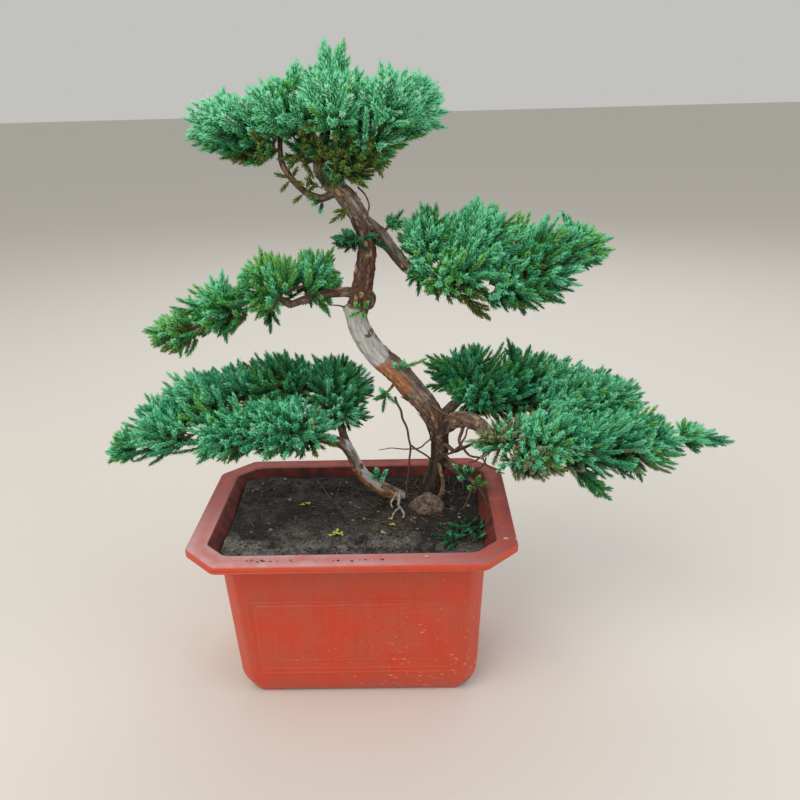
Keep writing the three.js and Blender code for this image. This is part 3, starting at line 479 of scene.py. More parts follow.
def juniper_bark():
    """Old juniper bark: fibrous strips that peel, grey where weathered and rust where fresh.

    The vertex attribute bark holds a place round and along the limb, in metres, so that the
    fibres run with it. The attributes pale, rust, dark and ruddy hold where each colour lies;
    a pale place on a limb's upper side is partly a painted highlight, and a dark underside is
    painted shade.
    """
    look = Look("flaking_juniper_bark", "#80654f", 0.88)
    add = look.add
    place = add("Attribute", out="Vector", attribute_name="bark")
    # Fibres of 1 mm that run 15 mm along the limb
    fibres, fibre = look.spots(place, 620.0, 5.0, 0.7, 0.34, 0.66)
    patches = add("TexNoise", {"Vector": place, "Scale": 190.0, "Detail": 4.0,
                               "Roughness": 0.6})
    colour = add("Mix", {0: fibre, 6: "#4a3b31", 7: "#907863"}, **RGBA)
    # Flakes 4 by 8 mm, some of them weathered paler, with cracks between
    shortened = add("Mapping", {"Vector": place, "Scale": (1.0, 1.0, 5.0)})
    wavy = add("TexNoise", {"Vector": shortened, "Scale": 300.0, "Detail": 3.0}, "Color")
    bent = add("VectorMath", {0: wavy, 1: (0.004, 0.004, 0.004), 2: shortened},
               operation="MULTIPLY_ADD")
    flakes = add("TexVoronoi", {"Vector": bent, "Scale": 230.0}, "Color")
    cracks = add("TexVoronoi", {"Vector": bent, "Scale": 230.0}, feature="DISTANCE_TO_EDGE")
    crack = add("MapRange", {"Value": cracks, "From Min": 0.02, "From Max": 0.11,
                             "To Min": 0.75, "To Max": 0.0})
    tone = add("SeparateColor", {"Color": flakes})
    weathered = add("MapRange", {"Value": tone, "From Min": 0.35, "To Max": 0.55})
    colour = add("Mix", {0: weathered, 6: colour, 7: "#b3a08c"}, **RGBA)
    weights = {}
    for kind, low, high in (("ruddy", "#4e2f28", "#8a5646"), ("dark", "#1e1714", "#483930"),
                            ("rust", "#9a5a38", "#cf8d60"), ("pale", "#a3a19e", "#dcdcdb")):
        weights[kind] = add("Attribute", out="Fac", attribute_name=kind)
        broken = add("Math", {0: weights[kind], 1: patches}, operation="ADD")
        share = add("MapRange", {"Value": broken, "From Min": 0.86, "From Max": 1.08,
                                 "To Max": 0.94})
        tint = add("Mix", {0: fibre, 6: low, 7: high}, **RGBA)
        colour = add("Mix", {0: share, 6: colour, 7: tint}, **RGBA)
    # The furrows that the relief cuts stay darker, and so do the cracks, least where it is bare
    bare = add("Math", {0: weights["rust"], 1: 0.55, 2: weights["pale"]},
               operation="MULTIPLY_ADD")
    rough = add("MapRange", {"Value": bare, "From Min": 0.25, "From Max": 0.75,
                             "To Min": 1.0, "To Max": 0.2})
    furrow = add("Attribute", out="Fac", attribute_name="furrow")
    deepest = add("Math", {0: furrow, 1: crack}, operation="MAXIMUM")
    opened = add("Math", {0: deepest, 1: rough}, operation="MULTIPLY")
    colour = add("Mix", {0: opened, 6: colour, 7: "#2a201a"}, **RGBA)
    ridged = add("Math", {0: fibres, 1: opened}, operation="SUBTRACT")
    return look.done(colour, ridged, 0.6, 0.0007)


def mottled(name, low, high, scale, roughness):
    """A small natural thing in two tones that change over a noise of a given scale."""
    look = Look(name, low, roughness)
    tones, share = look.spots(look.add("TexCoord", out="Object"), scale, 3.0, 0.5, 0.38, 0.62)
    colour = look.add("Mix", {0: share, 6: low, 7: high}, **RGBA)
    return look.done(colour, tones, 0.4, 0.0003)


POT_PLASTIC = moulded_plastic()
# The inside of the wall is dark: partly soil stains and partly painted shade
STAINED_AND_SHADED_PLASTIC = mottled("soil_stained_painted_shade_polypropylene", "#4a1d18", "#7c2c22", 90.0, 0.75)
SOIL = potting_soil()
BARK = juniper_bark()
# Needles are waxy, so they keep a soft sheen; each spray has one plain colour for its older
# needles and one for its tip
NEEDLES = {key: Look("juniper_needle_" + name, base, roughness).material
           for key, name, base, roughness in (
               ("pale", "pale_tip", "#a4eac4", 0.5),
               ("teal", "blue_green_tip", "#7ae0aa", 0.5),
               ("blue", "blue_green", "#42b480", 0.5),
               ("fresh", "fresh_tip", "#74c262", 0.5),
               ("green", "green", "#4cac5c", 0.5),
               ("mid", "mid_green", "#28844e", 0.55),
               ("deep", "deep_green", "#124a30", 0.6),
               ("dull", "fading", "#90a078", 0.65),
               ("olive", "olive", "#6f8436", 0.6),
               ("brown", "old_brown", "#86673a", 0.7))}
NEEDLE_NUMBER = {name: number for number, name in enumerate(NEEDLES)}
TWIG_LOOKS = (mottled("young_juniper_twig", "#5d4433", "#8a6a4e", 400.0, 0.8),
              mottled("green_juniper_stem", "#5a6c34", "#7f8a44", 300.0, 0.7))
ROOTLET_LOOKS = (mottled("dry_rootlet_wood", "#3f2e25", "#705641", 350.0, 0.85),
                 mottled("bare_rootlet_wood", "#75695c", "#bdb3a6", 350.0, 0.85))
BARK_FLAKE = mottled("loose_juniper_bark_flake", "#5b4334", "#b08d6c", 250.0, 0.9)
CRUMB_DARK = mottled("soil_crumb_dark", "#231e1b", "#3a322c", 500.0, 0.95)
CRUMB_PALE = mottled("soil_crumb_pale", "#6b6258", "#94887a", 500.0, 0.95)
BARK_CHIP = mottled("bark_chip", "#704a30", "#9a6e4c", 400.0, 0.9)
WEED_LEAF = mottled("weed_seedling_leaf", "#9ba63c", "#bfc055", 500.0, 0.6)
DRY_SPLASH = mottled("dried_soil_splash", "#a39d96", "#c9c4bd", 500.0, 0.9)

# Random numbers and ways


class Dice:
    """Seeded numbers between 0 and 1."""

    def __init__(self, seed):
        self.state = seed

    def __call__(self, low=0.0, high=1.0):
        self.state = (self.state * 1664525 + 1013904223) & 0xFFFFFFFF
        return low + (high - low) * self.state / 4294967296


def unit(vector):
    return vector / max(1e-9, np.linalg.norm(vector))


def heading(turn, height=0.0):
    """A way round Z at an angle, with a height."""
    return np.array((math.cos(turn), math.sin(turn), height))


# Pieces


def activate(piece):
    bpy.ops.object.select_all(action="DESELECT")
    bpy.context.view_layer.objects.active = piece
    piece.select_set(True)


def primitive(name, operator, **settings):
    """A new object by one of Blender's operators."""
    bpy.ops.object.select_all(action="DESELECT")
    operator(**settings)
    bpy.context.object.name = name
    return bpy.context.object


def edit(piece, *steps):
    """Runs edit-mode steps on all of a piece."""
    activate(piece)
    bpy.ops.object.mode_set(mode="EDIT")
    bpy.ops.mesh.select_all(action="SELECT")
    for step in steps:
        step()
    bpy.ops.object.mode_set(mode="OBJECT")


def outward():
    bpy.ops.mesh.normals_make_consistent(inside=False)


def modify(piece, kind, **settings):
    """Gives a piece a modifier and applies it."""
    activate(piece)
    made = piece.modifiers.new(kind, kind)
    for key, value in settings.items():
        setattr(made, key, value)
    bpy.ops.object.modifier_apply(modifier=made.name)


def thicken(piece, way, thickness):
    """Turns a sheet so that it faces one way and gives it a thickness behind that."""
    edit(piece, outward)
    if piece.data.polygons[0].normal.dot(way) < 0:
        edit(piece, lambda: bpy.ops.mesh.flip_normals())
    modify(piece, "SOLIDIFY", thickness=thickness * MM, offset=-1)


def cut_under_soil(piece):
    """Cuts a piece off flat under the soil's level."""
    edit(piece, lambda: bpy.ops.mesh.bisect(
        plane_co=(0, 0, UNDER_SOIL * MM), plane_no=(0, 0, 1), use_fill=True,
        clear_inner=True))


def store(piece, name, values, kind="FLOAT"):
    """Stores a value, or a vector, for each vertex of a piece."""
    made = piece.data.attributes.new(name, kind, "POINT")
    made.data.foreach_set("value" if kind == "FLOAT" else "vector",
                          np.asarray(values, np.float32).ravel())


def finish(piece, slot, *materials):
    """Gives a piece its materials and smooth faces, and lets it ride with the part."""
    for material in materials:
        piece.data.materials.append(material)
    activate(piece)
    bpy.ops.object.transform_apply(location=True, rotation=True, scale=True)
    bpy.ops.object.shade_smooth_by_angle(angle=math.radians(SMOOTH_ANGLE))
    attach(piece, "root")


class Gathered:
    """Many small closed meshes gathered into one piece, in millimetres."""

    def __init__(self):
        self.corners, self.triangles, self.numbers, self.count = [], [], [], 0

    def add(self, corners, triangles, number):
        """number is the material of all the triangles, or an array with one for each."""
        triangles = np.asarray(triangles, int)
        self.corners.append(np.asarray(corners, float))
        self.triangles.append(triangles + self.count)
        self.numbers.append(np.broadcast_to(number, len(triangles)))
        self.count += len(corners)

    def make(self, name, slot, materials):
        """The piece or, past the most triangles that one may have, its numbered parts."""
        corners, triangles = np.vstack(self.corners), np.vstack(self.triangles)
        numbers = np.concatenate(self.numbers)
        parts = max(1, math.ceil(len(triangles) / MOST_TRIANGLES))
        pieces = []
        for part, rows in enumerate(np.array_split(np.arange(len(triangles)), parts)):
            used, faces = np.unique(triangles[rows], return_inverse=True)
            count = len(rows)
            mesh = bpy.data.meshes.new(name if part == 0 else f"{name}_{part + 1}")
            mesh.vertices.add(len(used))
            mesh.vertices.foreach_set("co", (corners[used] * MM).astype(np.float32).ravel())
            mesh.loops.add(3 * count)
            mesh.loops.foreach_set("vertex_index", faces.astype(np.int32).ravel())
            mesh.polygons.add(count)
            mesh.polygons.foreach_set("loop_start", np.arange(0, 3 * count, 3, dtype=np.int32))
            mesh.polygons.foreach_set("material_index", numbers[rows].astype(np.int32))
            for material in materials:
                mesh.materials.append(material)
            mesh.update(calc_edges=True)
            piece = bpy.data.objects.new(mesh.name, mesh)
            bpy.context.scene.collection.objects.link(piece)
            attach(piece, "root")
            pieces.append(piece)
        return pieces


# Lines, tubes and limbs


def smooth_line(points, step):
    """A centripetal Catmull-Rom line through places with radii, evened: places, radii, lengths."""
    points, radii = np.split(np.array(points, float), [3], axis=1)
    ends = np.vstack([2 * points[0] - points[1], points, 2 * points[-1] - points[-2]])
    dense, shares = [], []
    for i in range(len(points) - 1):
        p = ends[i:i + 4]
        gaps = np.sqrt(np.linalg.norm(np.diff(p, axis=0), axis=1))
        knots = np.concatenate([[0], np.cumsum(gaps)])
        for t in np.linspace(0, 1, 24, endpoint=i == len(points) - 2):
            at = knots[1] + t * (knots[2] - knots[1])
            row = p
            for level in range(3):
                row = np.array([
                    (row[j] * (knots[j + level + 1] - at) + row[j + 1] * (at - knots[j]))
                    / (knots[j + level + 1] - knots[j]) for j in range(3 - level)])
            dense.append(row[0])
            shares.append(i + t)
    dense, shares = np.array(dense), np.array(shares)
    lengths = np.concatenate([[0], np.cumsum(np.linalg.norm(np.diff(dense, axis=0), axis=1))])
    even = np.linspace(0, lengths[-1], max(2, int(round(lengths[-1] / step)) + 1))
    places = np.column_stack([np.interp(even, lengths, dense[:, k]) for k in range(3)])
    thick = np.interp(np.interp(even, lengths, shares), np.arange(len(radii)), radii[:, 0])
    return places, thick, even


def frames_along(places):
    """Unit ways along a line, and two across it that are carried along without twisting."""
    along = np.gradient(places, axis=0)
    along /= np.linalg.norm(along, axis=1)[:, None]
    side = np.cross(along[0], (0.0, 1.0, 0.0))
    if np.linalg.norm(side) < 0.1:
        side = np.array((1.0, 0.0, 0.0))
    first = np.empty_like(places)
    for i, way in enumerate(along):
        side = unit(side - way * side.dot(way))
        first[i] = side
    return along, first, np.cross(along, first)


def tube(points, radii, sides):
    """A closed tapering tube as corners and triangles that point outwards."""
    points = np.asarray(points, float)
    _, first, second = frames_along(points)
    angle = 2 * math.pi * np.arange(sides) / sides
    ring = (first[:, None] * np.cos(angle)[None, :, None]
            + second[:, None] * np.sin(angle)[None, :, None])
    corners = (points[:, None] + ring * np.asarray(radii, float)[:, None, None]).reshape(-1, 3)
    corners = np.vstack([corners, points[0], points[-1]])
    triangles, last, top = [], len(corners) - 1, len(corners) - 2 - sides
    for row in range(0, top, sides):
        for side in range(sides):
            a, b = row + side, row + (side + 1) % sides
            triangles += [(a, b, a + sides), (b, b + sides, a + sides)]
    for side in range(sides):
        turn = (side + 1) % sides
        triangles += [(last - 1, turn, side), (last, top + side, top + turn)]
    return corners, np.array(triangles)


def bowed(start, end, sag, count=5):
    """Places along a twig that sags a little between its ends."""
    shares = np.linspace(0, 1, count)[:, None]
    line = np.asarray(start) + (np.asarray(end, float) - start) * shares
    line[:, 2] -= (sag * 4 * shares * (1 - shares)).ravel()
    return line


def along_line(line, share):
    """The place at a share of a line of points."""
    row = share * (len(line) - 1)
    low = min(int(row), len(line) - 2)
    return line[low] + (line[low + 1] - line[low]) * (row - low)


def bark_relief(across, along, piece_seed, depth):
    """Height of the bark at a place round and along a limb, and how deep a furrow is there."""
    spot = Vector((across[0], across[1], along * 0.16)) * 0.34 + Vector((0, 0, piece_seed))
    fibre = noise.fractal(spot * 2.6, 0.9, 2.1, 3)
    near, _ = noise.voronoi(Vector((spot.x, spot.y, spot.z * 2.2)) * 0.75)
    plate = min(1.0, (near[1] - near[0]) * 3.2)
    return depth * (0.55 * fibre + 0.75 * (plate - 0.75)), 1 - plate


def grow_limb(name, limb):
    """One tapering limb: a grid rolled into a tube along its line, with the bark's relief."""
    sides, depth, line, patches = limb
    places, radii, lengths = smooth_line(line, 1)
    _, first, second = frames_along(places)
    rows = len(places) - 1
    piece = primitive(name, bpy.ops.mesh.primitive_grid_add, x_subdivisions=sides,
                      y_subdivisions=rows, size=1)
    co = np.empty(len(piece.data.vertices) * 3, np.float32)
    piece.data.vertices.foreach_get("co", co)
    co = co.reshape(-1, 3)
    row = np.rint((co[:, 1] + 0.5) * rows).astype(int)
    angle = 2 * math.pi * (np.rint((co[:, 0] + 0.5) * sides).astype(int) % sides) / sides
    flat = np.column_stack([np.cos(angle), np.sin(angle)])
    way = first[row] * flat[:, :1] + second[row] * flat[:, 1:]
    radius, share = radii[row].copy(), row / rows
    if name == "bark_trunk":
        rise = np.maximum(0, places[row][:, 2] - SOIL_LEVEL)
        radius *= 1 + FLARE_SWELL * np.exp(-rise / FLARE_HEIGHT)
        radius *= 1 + FLUTE_DEPTH * (1 - share) * np.cos(FLUTE_COUNT * angle
                                                         + FLUTE_WIND * share)
    across, bark_seed = flat * radii[row][:, None], sum(line[0][:3])
    relief, furrow = np.transpose([bark_relief(spot, length, bark_seed, depth)
                                   for spot, length in zip(across, lengths[row])])
    ends = np.minimum(1, np.minimum(share, 1 - share) * rows / 3)
    at = places[row] + way * (radius + relief * ends)[:, None]
    piece.data.vertices.foreach_set("co", (at * MM).astype(np.float32).ravel())
    pattern = np.column_stack([across, lengths[row] * BARK_DRAWN_OUT + bark_seed])
    store(piece, "bark", pattern * MM, "FLOAT_VECTOR")
    store(piece, "furrow", 0.75 * np.clip(furrow, 0, 1) ** 2)
    weights = {kind: np.zeros(len(co)) for kind in ("pale", "rust", "dark", "ruddy")}
    for kind, start, end, strength, *facing in patches:
        stretch = (np.clip((lengths - start) / COLOUR_FADE + 0.5, 0, 1)
                   * np.clip((end - lengths) / COLOUR_FADE + 0.5, 0, 1))[row]
        # A place with a facing is strongest on the side that faces that way, which is how the pale
        # tops and dark undersides paint highlight and shade
        if facing:
            lit = way @ np.array(Vector(facing[0]).normalized())
            stretch = stretch * np.clip(0.5 + 0.9 * lit, 0, 1)
        weights[kind] = np.maximum(weights[kind], strength * stretch * COLOUR_SHARE)
    for kind, weight in weights.items():
        store(piece, kind, weight)
    edit(piece, lambda: bpy.ops.mesh.remove_doubles(threshold=0.000001),
         lambda: bpy.ops.mesh.fill_holes(sides=0), outward)
    if at[:, 2].min() < UNDER_SOIL:
        cut_under_soil(piece)
    finish(piece, "bark", BARK)
    return piece


def build_limbs():
    """All the limbs in bark, and the samples of their lines that shoots keep clear of."""
    samples = {}
    for name, limb in LIMBS.items():
        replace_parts(grow_limb("bark_" + name, limb), name)
        samples[name] = smooth_line(limb[2], 3)[:2]
    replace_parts(grow_limb("bark_cut_stub", CUT_STUB), "trunk")
    return samples


def scatter_flakes():
    """Loose flakes of bark that lift off the trunk and the thicker boughs."""
    random, flakes = Dice(911), Gathered()
    for name, count in FLAKES.items():
        places, radii, _ = smooth_line(LIMBS[name][2], 1)
        along, first, second = frames_along(places)
        bare = [patch[1:3] for patch in LIMBS[name][3]
                if patch[0] == "pale" and patch[3] > BARE_WOOD]
        for _ in range(count):
            row = int(random(0.2 if name == "trunk" else 0.08, 0.93) * (len(places) - 1))
            turn = random(0, 2 * math.pi)
            if any(low < row < high for low, high in bare):
                continue
            out = first[row] * math.cos(turn) + second[row] * math.sin(turn)
            long, wide, lift = random(4, 9), random(1.2, 2.6), random(0.4, 1.7)
            base = places[row] + out * (radii[row] - 0.2)
            half = along[row] * (1 if random() < 0.5 else -1) * long / 2
            line = np.array((base - half, base + out * 0.25, base + half + out * lift))
            corners, triangles = tube(line, (wide * 0.55, wide, wide * 0.4), 8)
            middle = np.vstack([np.repeat(line, 8, axis=0), line[0], line[-1]])
            corners -= out * ((corners - middle) @ out)[:, None] * FLAKE_FLATNESS
            flakes.add(corners, triangles, 0)
    flakes.make("loose_bark_flakes", "bark", (BARK_FLAKE,))


def build_root_crown():
    """The old root crown in front of the foot, a lumpy ball with bark on it."""
    piece = primitive("root_crown_lump", bpy.ops.mesh.primitive_ico_sphere_add,
                      subdivisions=5, radius=1)
    bark, rust = [], []
    for vertex in piece.data.vertices:
        way = vertex.co.copy()
        swell = (1 + 0.12 * math.sin(5 * way.x + 2 * way.z) * math.cos(4 * way.y - 3 * way.z)
                 + 0.05 * noise.fractal(way * 4, 0.9, 2.1, 4))
        at = Vector(w * h for w, h in zip(way, ROOT_CROWN_HALF)) * swell
        vertex.co = (Vector(ROOT_CROWN_CENTRE) + at) * MM
        bark.append(at * MM)
        rust.append(ROOT_CROWN_RUST * max(0, way.z))
    store(piece, "bark", bark, "FLOAT_VECTOR")
    store(piece, "rust", rust)
    for kind, value in ROOT_CROWN_LOOK.items():
        store(piece, kind, [value] * len(bark))
    cut_under_soil(piece)
    finish(piece, "bark", BARK)
    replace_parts(piece, "root_crown")


# The pot


def wall_inset(z):
    """How far the outer wall lies in from the rim at a height."""
    body_top = POT_HEIGHT - LIP_BAND - 0.3
    low = max(0, 1 - z / BASE_CURVE_HEIGHT)
    lean = WALL_LEAN * (body_top - max(z, BASE_CURVE_HEIGHT)) / (body_top - BASE_CURVE_HEIGHT)
    return RIM_OVERHANG + lean + (BASE_INSET - WALL_LEAN) * low ** 2


def wall_chamfer(z):
    return BASE_CHAMFER + (BODY_CHAMFER - BASE_CHAMFER) * min(1, z / BASE_CURVE_HEIGHT)


def bearing(place):
    return math.atan2(place.y, place.x)


def octagon(inset, chamfer, z):
    """The eight corners of a rectangle with cut corners, in metres, sorted round the middle."""
    x, y = RIM_HALF_X - inset, RIM_HALF_Y - inset
    corners = [(a * sx, b * sy, z) for a, b in ((x - chamfer, y), (x, y - chamfer))
               for sx in (-1, 1) for sy in (-1, 1)]
    return sorted((Vector(c) * MM for c in corners), key=bearing)


def stack_rings(name, rings):
    """An eight-sided piece: a face that is extruded ring by ring from its underside."""
    piece = primitive(name, bpy.ops.mesh.primitive_circle_add, vertices=8, radius=0.1,
                      fill_type="NGON")
    bpy.ops.object.mode_set(mode="EDIT")
    for number, (z, inset, chamfer) in enumerate(rings):
        if number:
            bpy.ops.mesh.extrude_region_move()
        shape = bmesh.from_edit_mesh(piece.data)
        chosen = sorted((v for v in shape.verts if v.select), key=lambda v: bearing(v.co))
        for corner, place in zip(chosen, octagon(inset, chamfer, z)):
            corner.co = place
        bmesh.update_edit_mesh(piece.data)
    bpy.ops.object.mode_set(mode="OBJECT")
    return piece


def select_corner_edges(piece):
    """Selects the edges that run up the corners of an eight-sided piece."""
    shape = bmesh.from_edit_mesh(piece.data)
    bpy.ops.mesh.select_all(action="DESELECT")
    for edge in shape.edges:
        low, high = (math.degrees(bearing(v.co)) for v in edge.verts)
        edge.select = min(abs(low - high), 360 - abs(low - high)) < CORNER_SLACK
    bmesh.update_edit_mesh(piece.data)


def cut_out(piece, cutter):
    """Cuts a solid out of a piece and throws the cutter away."""
    modify(piece, "BOOLEAN", operation="DIFFERENCE", solver="EXACT", object=cutter)
    bpy.data.objects.remove(cutter)


def build_pot():
    """Underside, curved foot, leaning wall, cove, broad lip with a rolled edge, and inside."""
    low, top = POT_HEIGHT - LIP_BAND, POT_HEIGHT
    outside = [(z, wall_inset(z), wall_chamfer(z)) for z in (0, 1.2, 3, 5, 8, 11, 15, 20, 26, 134)]
    lip = [(low - 5.5, RIM_OVERHANG - 0.6, 11.4), (low - 3.6, RIM_OVERHANG - 2.6, 12.4),
           (low - 2.2, RIM_OVERHANG - 6, 14.5), (low - 1.3, RIM_OVERHANG - 11, 18),
           (low - 0.6, 3.4, 25), (low - 0.5, 1.4, 25.8), (low, 0.4, 26.2), (low + 0.7, 0.1, 26.3),
           (low + 1.4, 0.55, 26.1), (low + 2.1, 0, RIM_CHAMFER), (low + 4.2, 0, RIM_CHAMFER),
           (top - 1, 0.25, 26.3), (top - 0.3, 1, 26), (top, 2.2, 25.4), (top - 0.3, 10, 21),
           (top, RIM_FLAT - 1.6, 16.8), (top - 0.4, RIM_FLAT - 0.5, 16.2),
           (top - 1.4, RIM_FLAT, 16)]
    inside = [(z, wall_inset(z) + WALL, wall_chamfer(z) - 1) for z in (135, 26, 18, 12, 8)]
    floor = [(FLOOR_Z, wall_inset(FLOOR_Z) + WALL + 3, 7)]
    pot = stack_rings("pot_shell", outside + lip + inside + floor)
    edit(pot, outward, lambda: select_corner_edges(pot),
         lambda: bpy.ops.mesh.bevel(offset=CORNER_ROUND * MM, segments=4, affect="EDGES"))
    for vertex in pot.data.vertices:
        vertex.co.z = max(0, vertex.co.z)
    base_x, base_y = RIM_HALF_X - wall_inset(0), RIM_HALF_Y - wall_inset(0)
    for side in (-1, 1):
        for half_x, half_y, centre in ((base_x - FOOT_LENGTH, FOOT_DEPTH, (0, side * base_y, 0)),
                                       (FOOT_DEPTH, base_y - FOOT_LENGTH, (side * base_x, 0, 0))):
            block = primitive("block", bpy.ops.mesh.primitive_cube_add, size=1)
            block.scale = Vector((2 * half_x, 2 * half_y, 2 * FOOT_GAP)) * MM
            block.location = Vector(centre) * MM
            bpy.ops.object.transform_apply(location=True, rotation=True, scale=True)
            cut_out(pot, block)
        cut_out(pot, primitive(
            "drain", bpy.ops.mesh.primitive_cylinder_add, vertices=28, radius=DRAIN_RADIUS * MM,
            depth=4 * FLOOR_Z * MM, location=(side * DRAIN_OFFSET * MM, 0, FLOOR_Z * MM)))
    finish(pot, "pot_plastic", POT_PLASTIC, STAINED_AND_SHADED_PLASTIC)
    # Faces that face inwards and the inner floor take the dark plastic: soil stains and painted
    # shade
    for face in pot.data.polygons:
        flat = Vector((face.center.x, face.center.y, 0))
        faces_in = face.normal.dot(flat) < -0.3 * flat.length
        if faces_in or (face.normal.z > 0.5 and face.center.z < 0.1):
            face.material_index = 1
    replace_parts(pot, "pot")


def line_height(distance, width):
    """A rounded moulded line: 1 on it, falling to 0 at half its width."""
    return max(0.0, 1 - (2 * distance / width) ** 2)


def hill_relief(x, z):
    """Low hills in two ranges: the moulded picture inside a panel."""
    far = 62 + 7 * math.sin(x / 15 + 0.6) + 3 * math.sin(x / 6.2)
    near = 46 + 6 * math.sin(x / 19 - 1.4) + 2.2 * math.sin(x / 7.5 + 2)
    return (0.4 * line_height(z - far, 2) + 0.45 * line_height(z - near, 2.2)
            + 0.15 * (z < far) + 0.15 * (z < near))


def build_panels():
    """The relief of each face: three nested frame lines, and hills on the broad faces."""
    middle, rows = (PANEL_LOW + PANEL_HIGH) / 2, PANEL_HIGH - PANEL_LOW
    for name, facing in (("front", (0, -1, 0)), ("back", (0, 1, 0)),
                         ("left", (-1, 0, 0)), ("right", (1, 0, 0))):
        facing, hills = Vector(facing), facing[0] == 0
        along = Vector((-facing.y, facing.x, 0))
        wall_half, other = (RIM_HALF_Y, RIM_HALF_X) if hills else (RIM_HALF_X, RIM_HALF_Y)
        half = other - wall_inset(middle) - PANEL_MARGIN
        piece = primitive(name + "_panel", bpy.ops.mesh.primitive_grid_add,
                          x_subdivisions=2 * int(half), y_subdivisions=rows * 3 // 2, size=1)
        for vertex in piece.data.vertices:
            x, z = vertex.co.x * 2 * (half + 2), middle + vertex.co.y * 2 * (rows / 2 + 2)
            edge = min(half - abs(x), z - PANEL_LOW, PANEL_HIGH - z)
            height = FRAME_RELIEF * max(share * line_height(edge - inset, width)
                                        for inset, width, share in FRAME_LINES)
            if hills and edge > HILL_MARGIN:
                height += hill_relief(x, z) * min(1, (edge - HILL_MARGIN) / 4)
            height += 0.08 if edge > 0 else -0.5
            vertex.co = (along * x + facing * (wall_half - wall_inset(z) + height)) * MM
            vertex.co.z = z * MM
        thicken(piece, facing, PANEL_THICKNESS)
        finish(piece, "pot_plastic", POT_PLASTIC)


# The soil and what lies on it


def soil_height(x, y):
    """The surface of the soil, heaped towards the trunk and the back, and cloddy all over."""
    spot = Vector((x, y, 0))
    heap = 1.3 * math.exp(-((x - 55) ** 2 + (y - 25) ** 2) / 900)
    banked = 4.2 * min(1, max(0, (y + 5) / 62)) ** 1.5 + 2.2 * min(1, max(0, (-x - 55) / 48)) ** 2
    rough = (1.9 * noise.fractal(spot * 0.045, 1, 2, 3)
             + 0.6 * noise.fractal(spot * 0.3, 0.8, 2.1, 3))
    near, _ = noise.voronoi(spot * 0.12 + 0.6 * noise.noise_vector(spot * 0.09))
    clods = 2.2 * max(0, 0.7 - 1.5 * near[0])
    return SOIL_LEVEL - 0.8 + heap + banked + rough + clods


def build_soil():
    """The bed of soil, a thick sheet that fits inside the pot's wall."""
    half_x, half_y, chamfer = SOIL_EDGE
    piece = primitive("soil_bed", bpy.ops.mesh.primitive_grid_add, x_subdivisions=230,
                      y_subdivisions=150, size=1)
    for vertex in piece.data.vertices:
        x, y = vertex.co.x * 2 * half_x, vertex.co.y * 2 * half_y
        vertex.co = Vector((x, y, soil_height(x, y))) * MM
    for side_x in (-1, 1):
        for side_y in (-1, 1):
            edit(piece, lambda: bpy.ops.mesh.bisect(
                plane_co=Vector((side_x * half_x, side_y * (half_y - chamfer), 0)) * MM,
                plane_no=(side_x, side_y, 0), clear_outer=True))
    thicken(piece, Vector((0, 0, 1)), SOIL_THICKNESS)
    for vertex in piece.data.vertices:
        x, y, z = vertex.co / MM
        x, y = max(-half_x, min(half_x, x)), max(-half_y, min(half_y, y))
        over = max(0, abs(x) + abs(y) - (half_x + half_y - chamfer)) / 2
        vertex.co = Vector((x - math.copysign(over, x), y - math.copysign(over, y), z)) * MM
    finish(piece, "soil", SOIL)
    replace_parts(piece, "soil")


def lump():
    """A ball of twenty faces with the seams closed, to be squeezed into crumbs."""
    ball = primitive("ball", bpy.ops.mesh.primitive_ico_sphere_add, subdivisions=1, radius=1)
    corners = np.array([v.co[:] for v in ball.data.vertices])
    triangles = np.array([p.vertices[:] for p in ball.data.polygons])
    bpy.data.objects.remove(ball)
    return corners, triangles


def scatter_crumbs(corners, triangles):
    """Crumbs of soil, a few bark chips and pale grains over the bed, denser near the trunk."""
    random, crumbs = Dice(4117), Gathered()
    for i in range(CRUMBS):
        x, y = random(-100, 100), random(-63, 63)
        if i % 3 == 0:
            x, y = 50 + random(-45, 50), 5 + random(-45, 50)
        if abs(x) > 102 or abs(y) > 65:
            continue
        size = 0.35 + 1.5 * random() ** 4
        squash = np.array((size * random(0.8, 1.4), size * random(0.7, 1.2), size * 0.6))
        shape = corners * squash * (1 + 0.25 * np.sin(7 * corners[:, [1, 2, 0]] + i))
        turn = heading(random(0, 2 * math.pi))
        spin = np.array((turn, (-turn[1], turn[0], 0), (0, 0, 1)))
        kind = 1 if random() < 0.16 else 2 if random() < 0.06 else 0
        crumbs.add(shape @ spin + (x, y, soil_height(x, y) + 0.15 * size), triangles, kind)
    crumbs.make("soil_crumbs", "soil", (CRUMB_DARK, CRUMB_PALE, BARK_CHIP))


def scatter_splashes(corners, triangles):
    """Dried splashes of soil and grit on the lip."""
    random, splashes = Dice(733), Gathered()
    for (x, y), spread, count in SPLASHES:
        for _ in range(count):
            size = random(0.5, 1.5)
            squash = np.array((size * random(0.8, 1.6), size * random(0.6, 1.2), 0.16 * size))
            place = (x + random(-spread, spread), y + random(-1.6, 1.6), POT_HEIGHT - 0.25)
            shape = corners * squash * (1 + 0.3 * np.sin(5 * corners[:, [1, 2, 0]] + x))
            splashes.add(np.minimum(shape + place, (130, 93, POT_HEIGHT)), triangles,
                         0 if spread < 6 and size > 0.8 else 1)
    splashes.make("lip_splashes", "soil", (DRY_SPLASH, CRUMB_DARK))


# Foliage


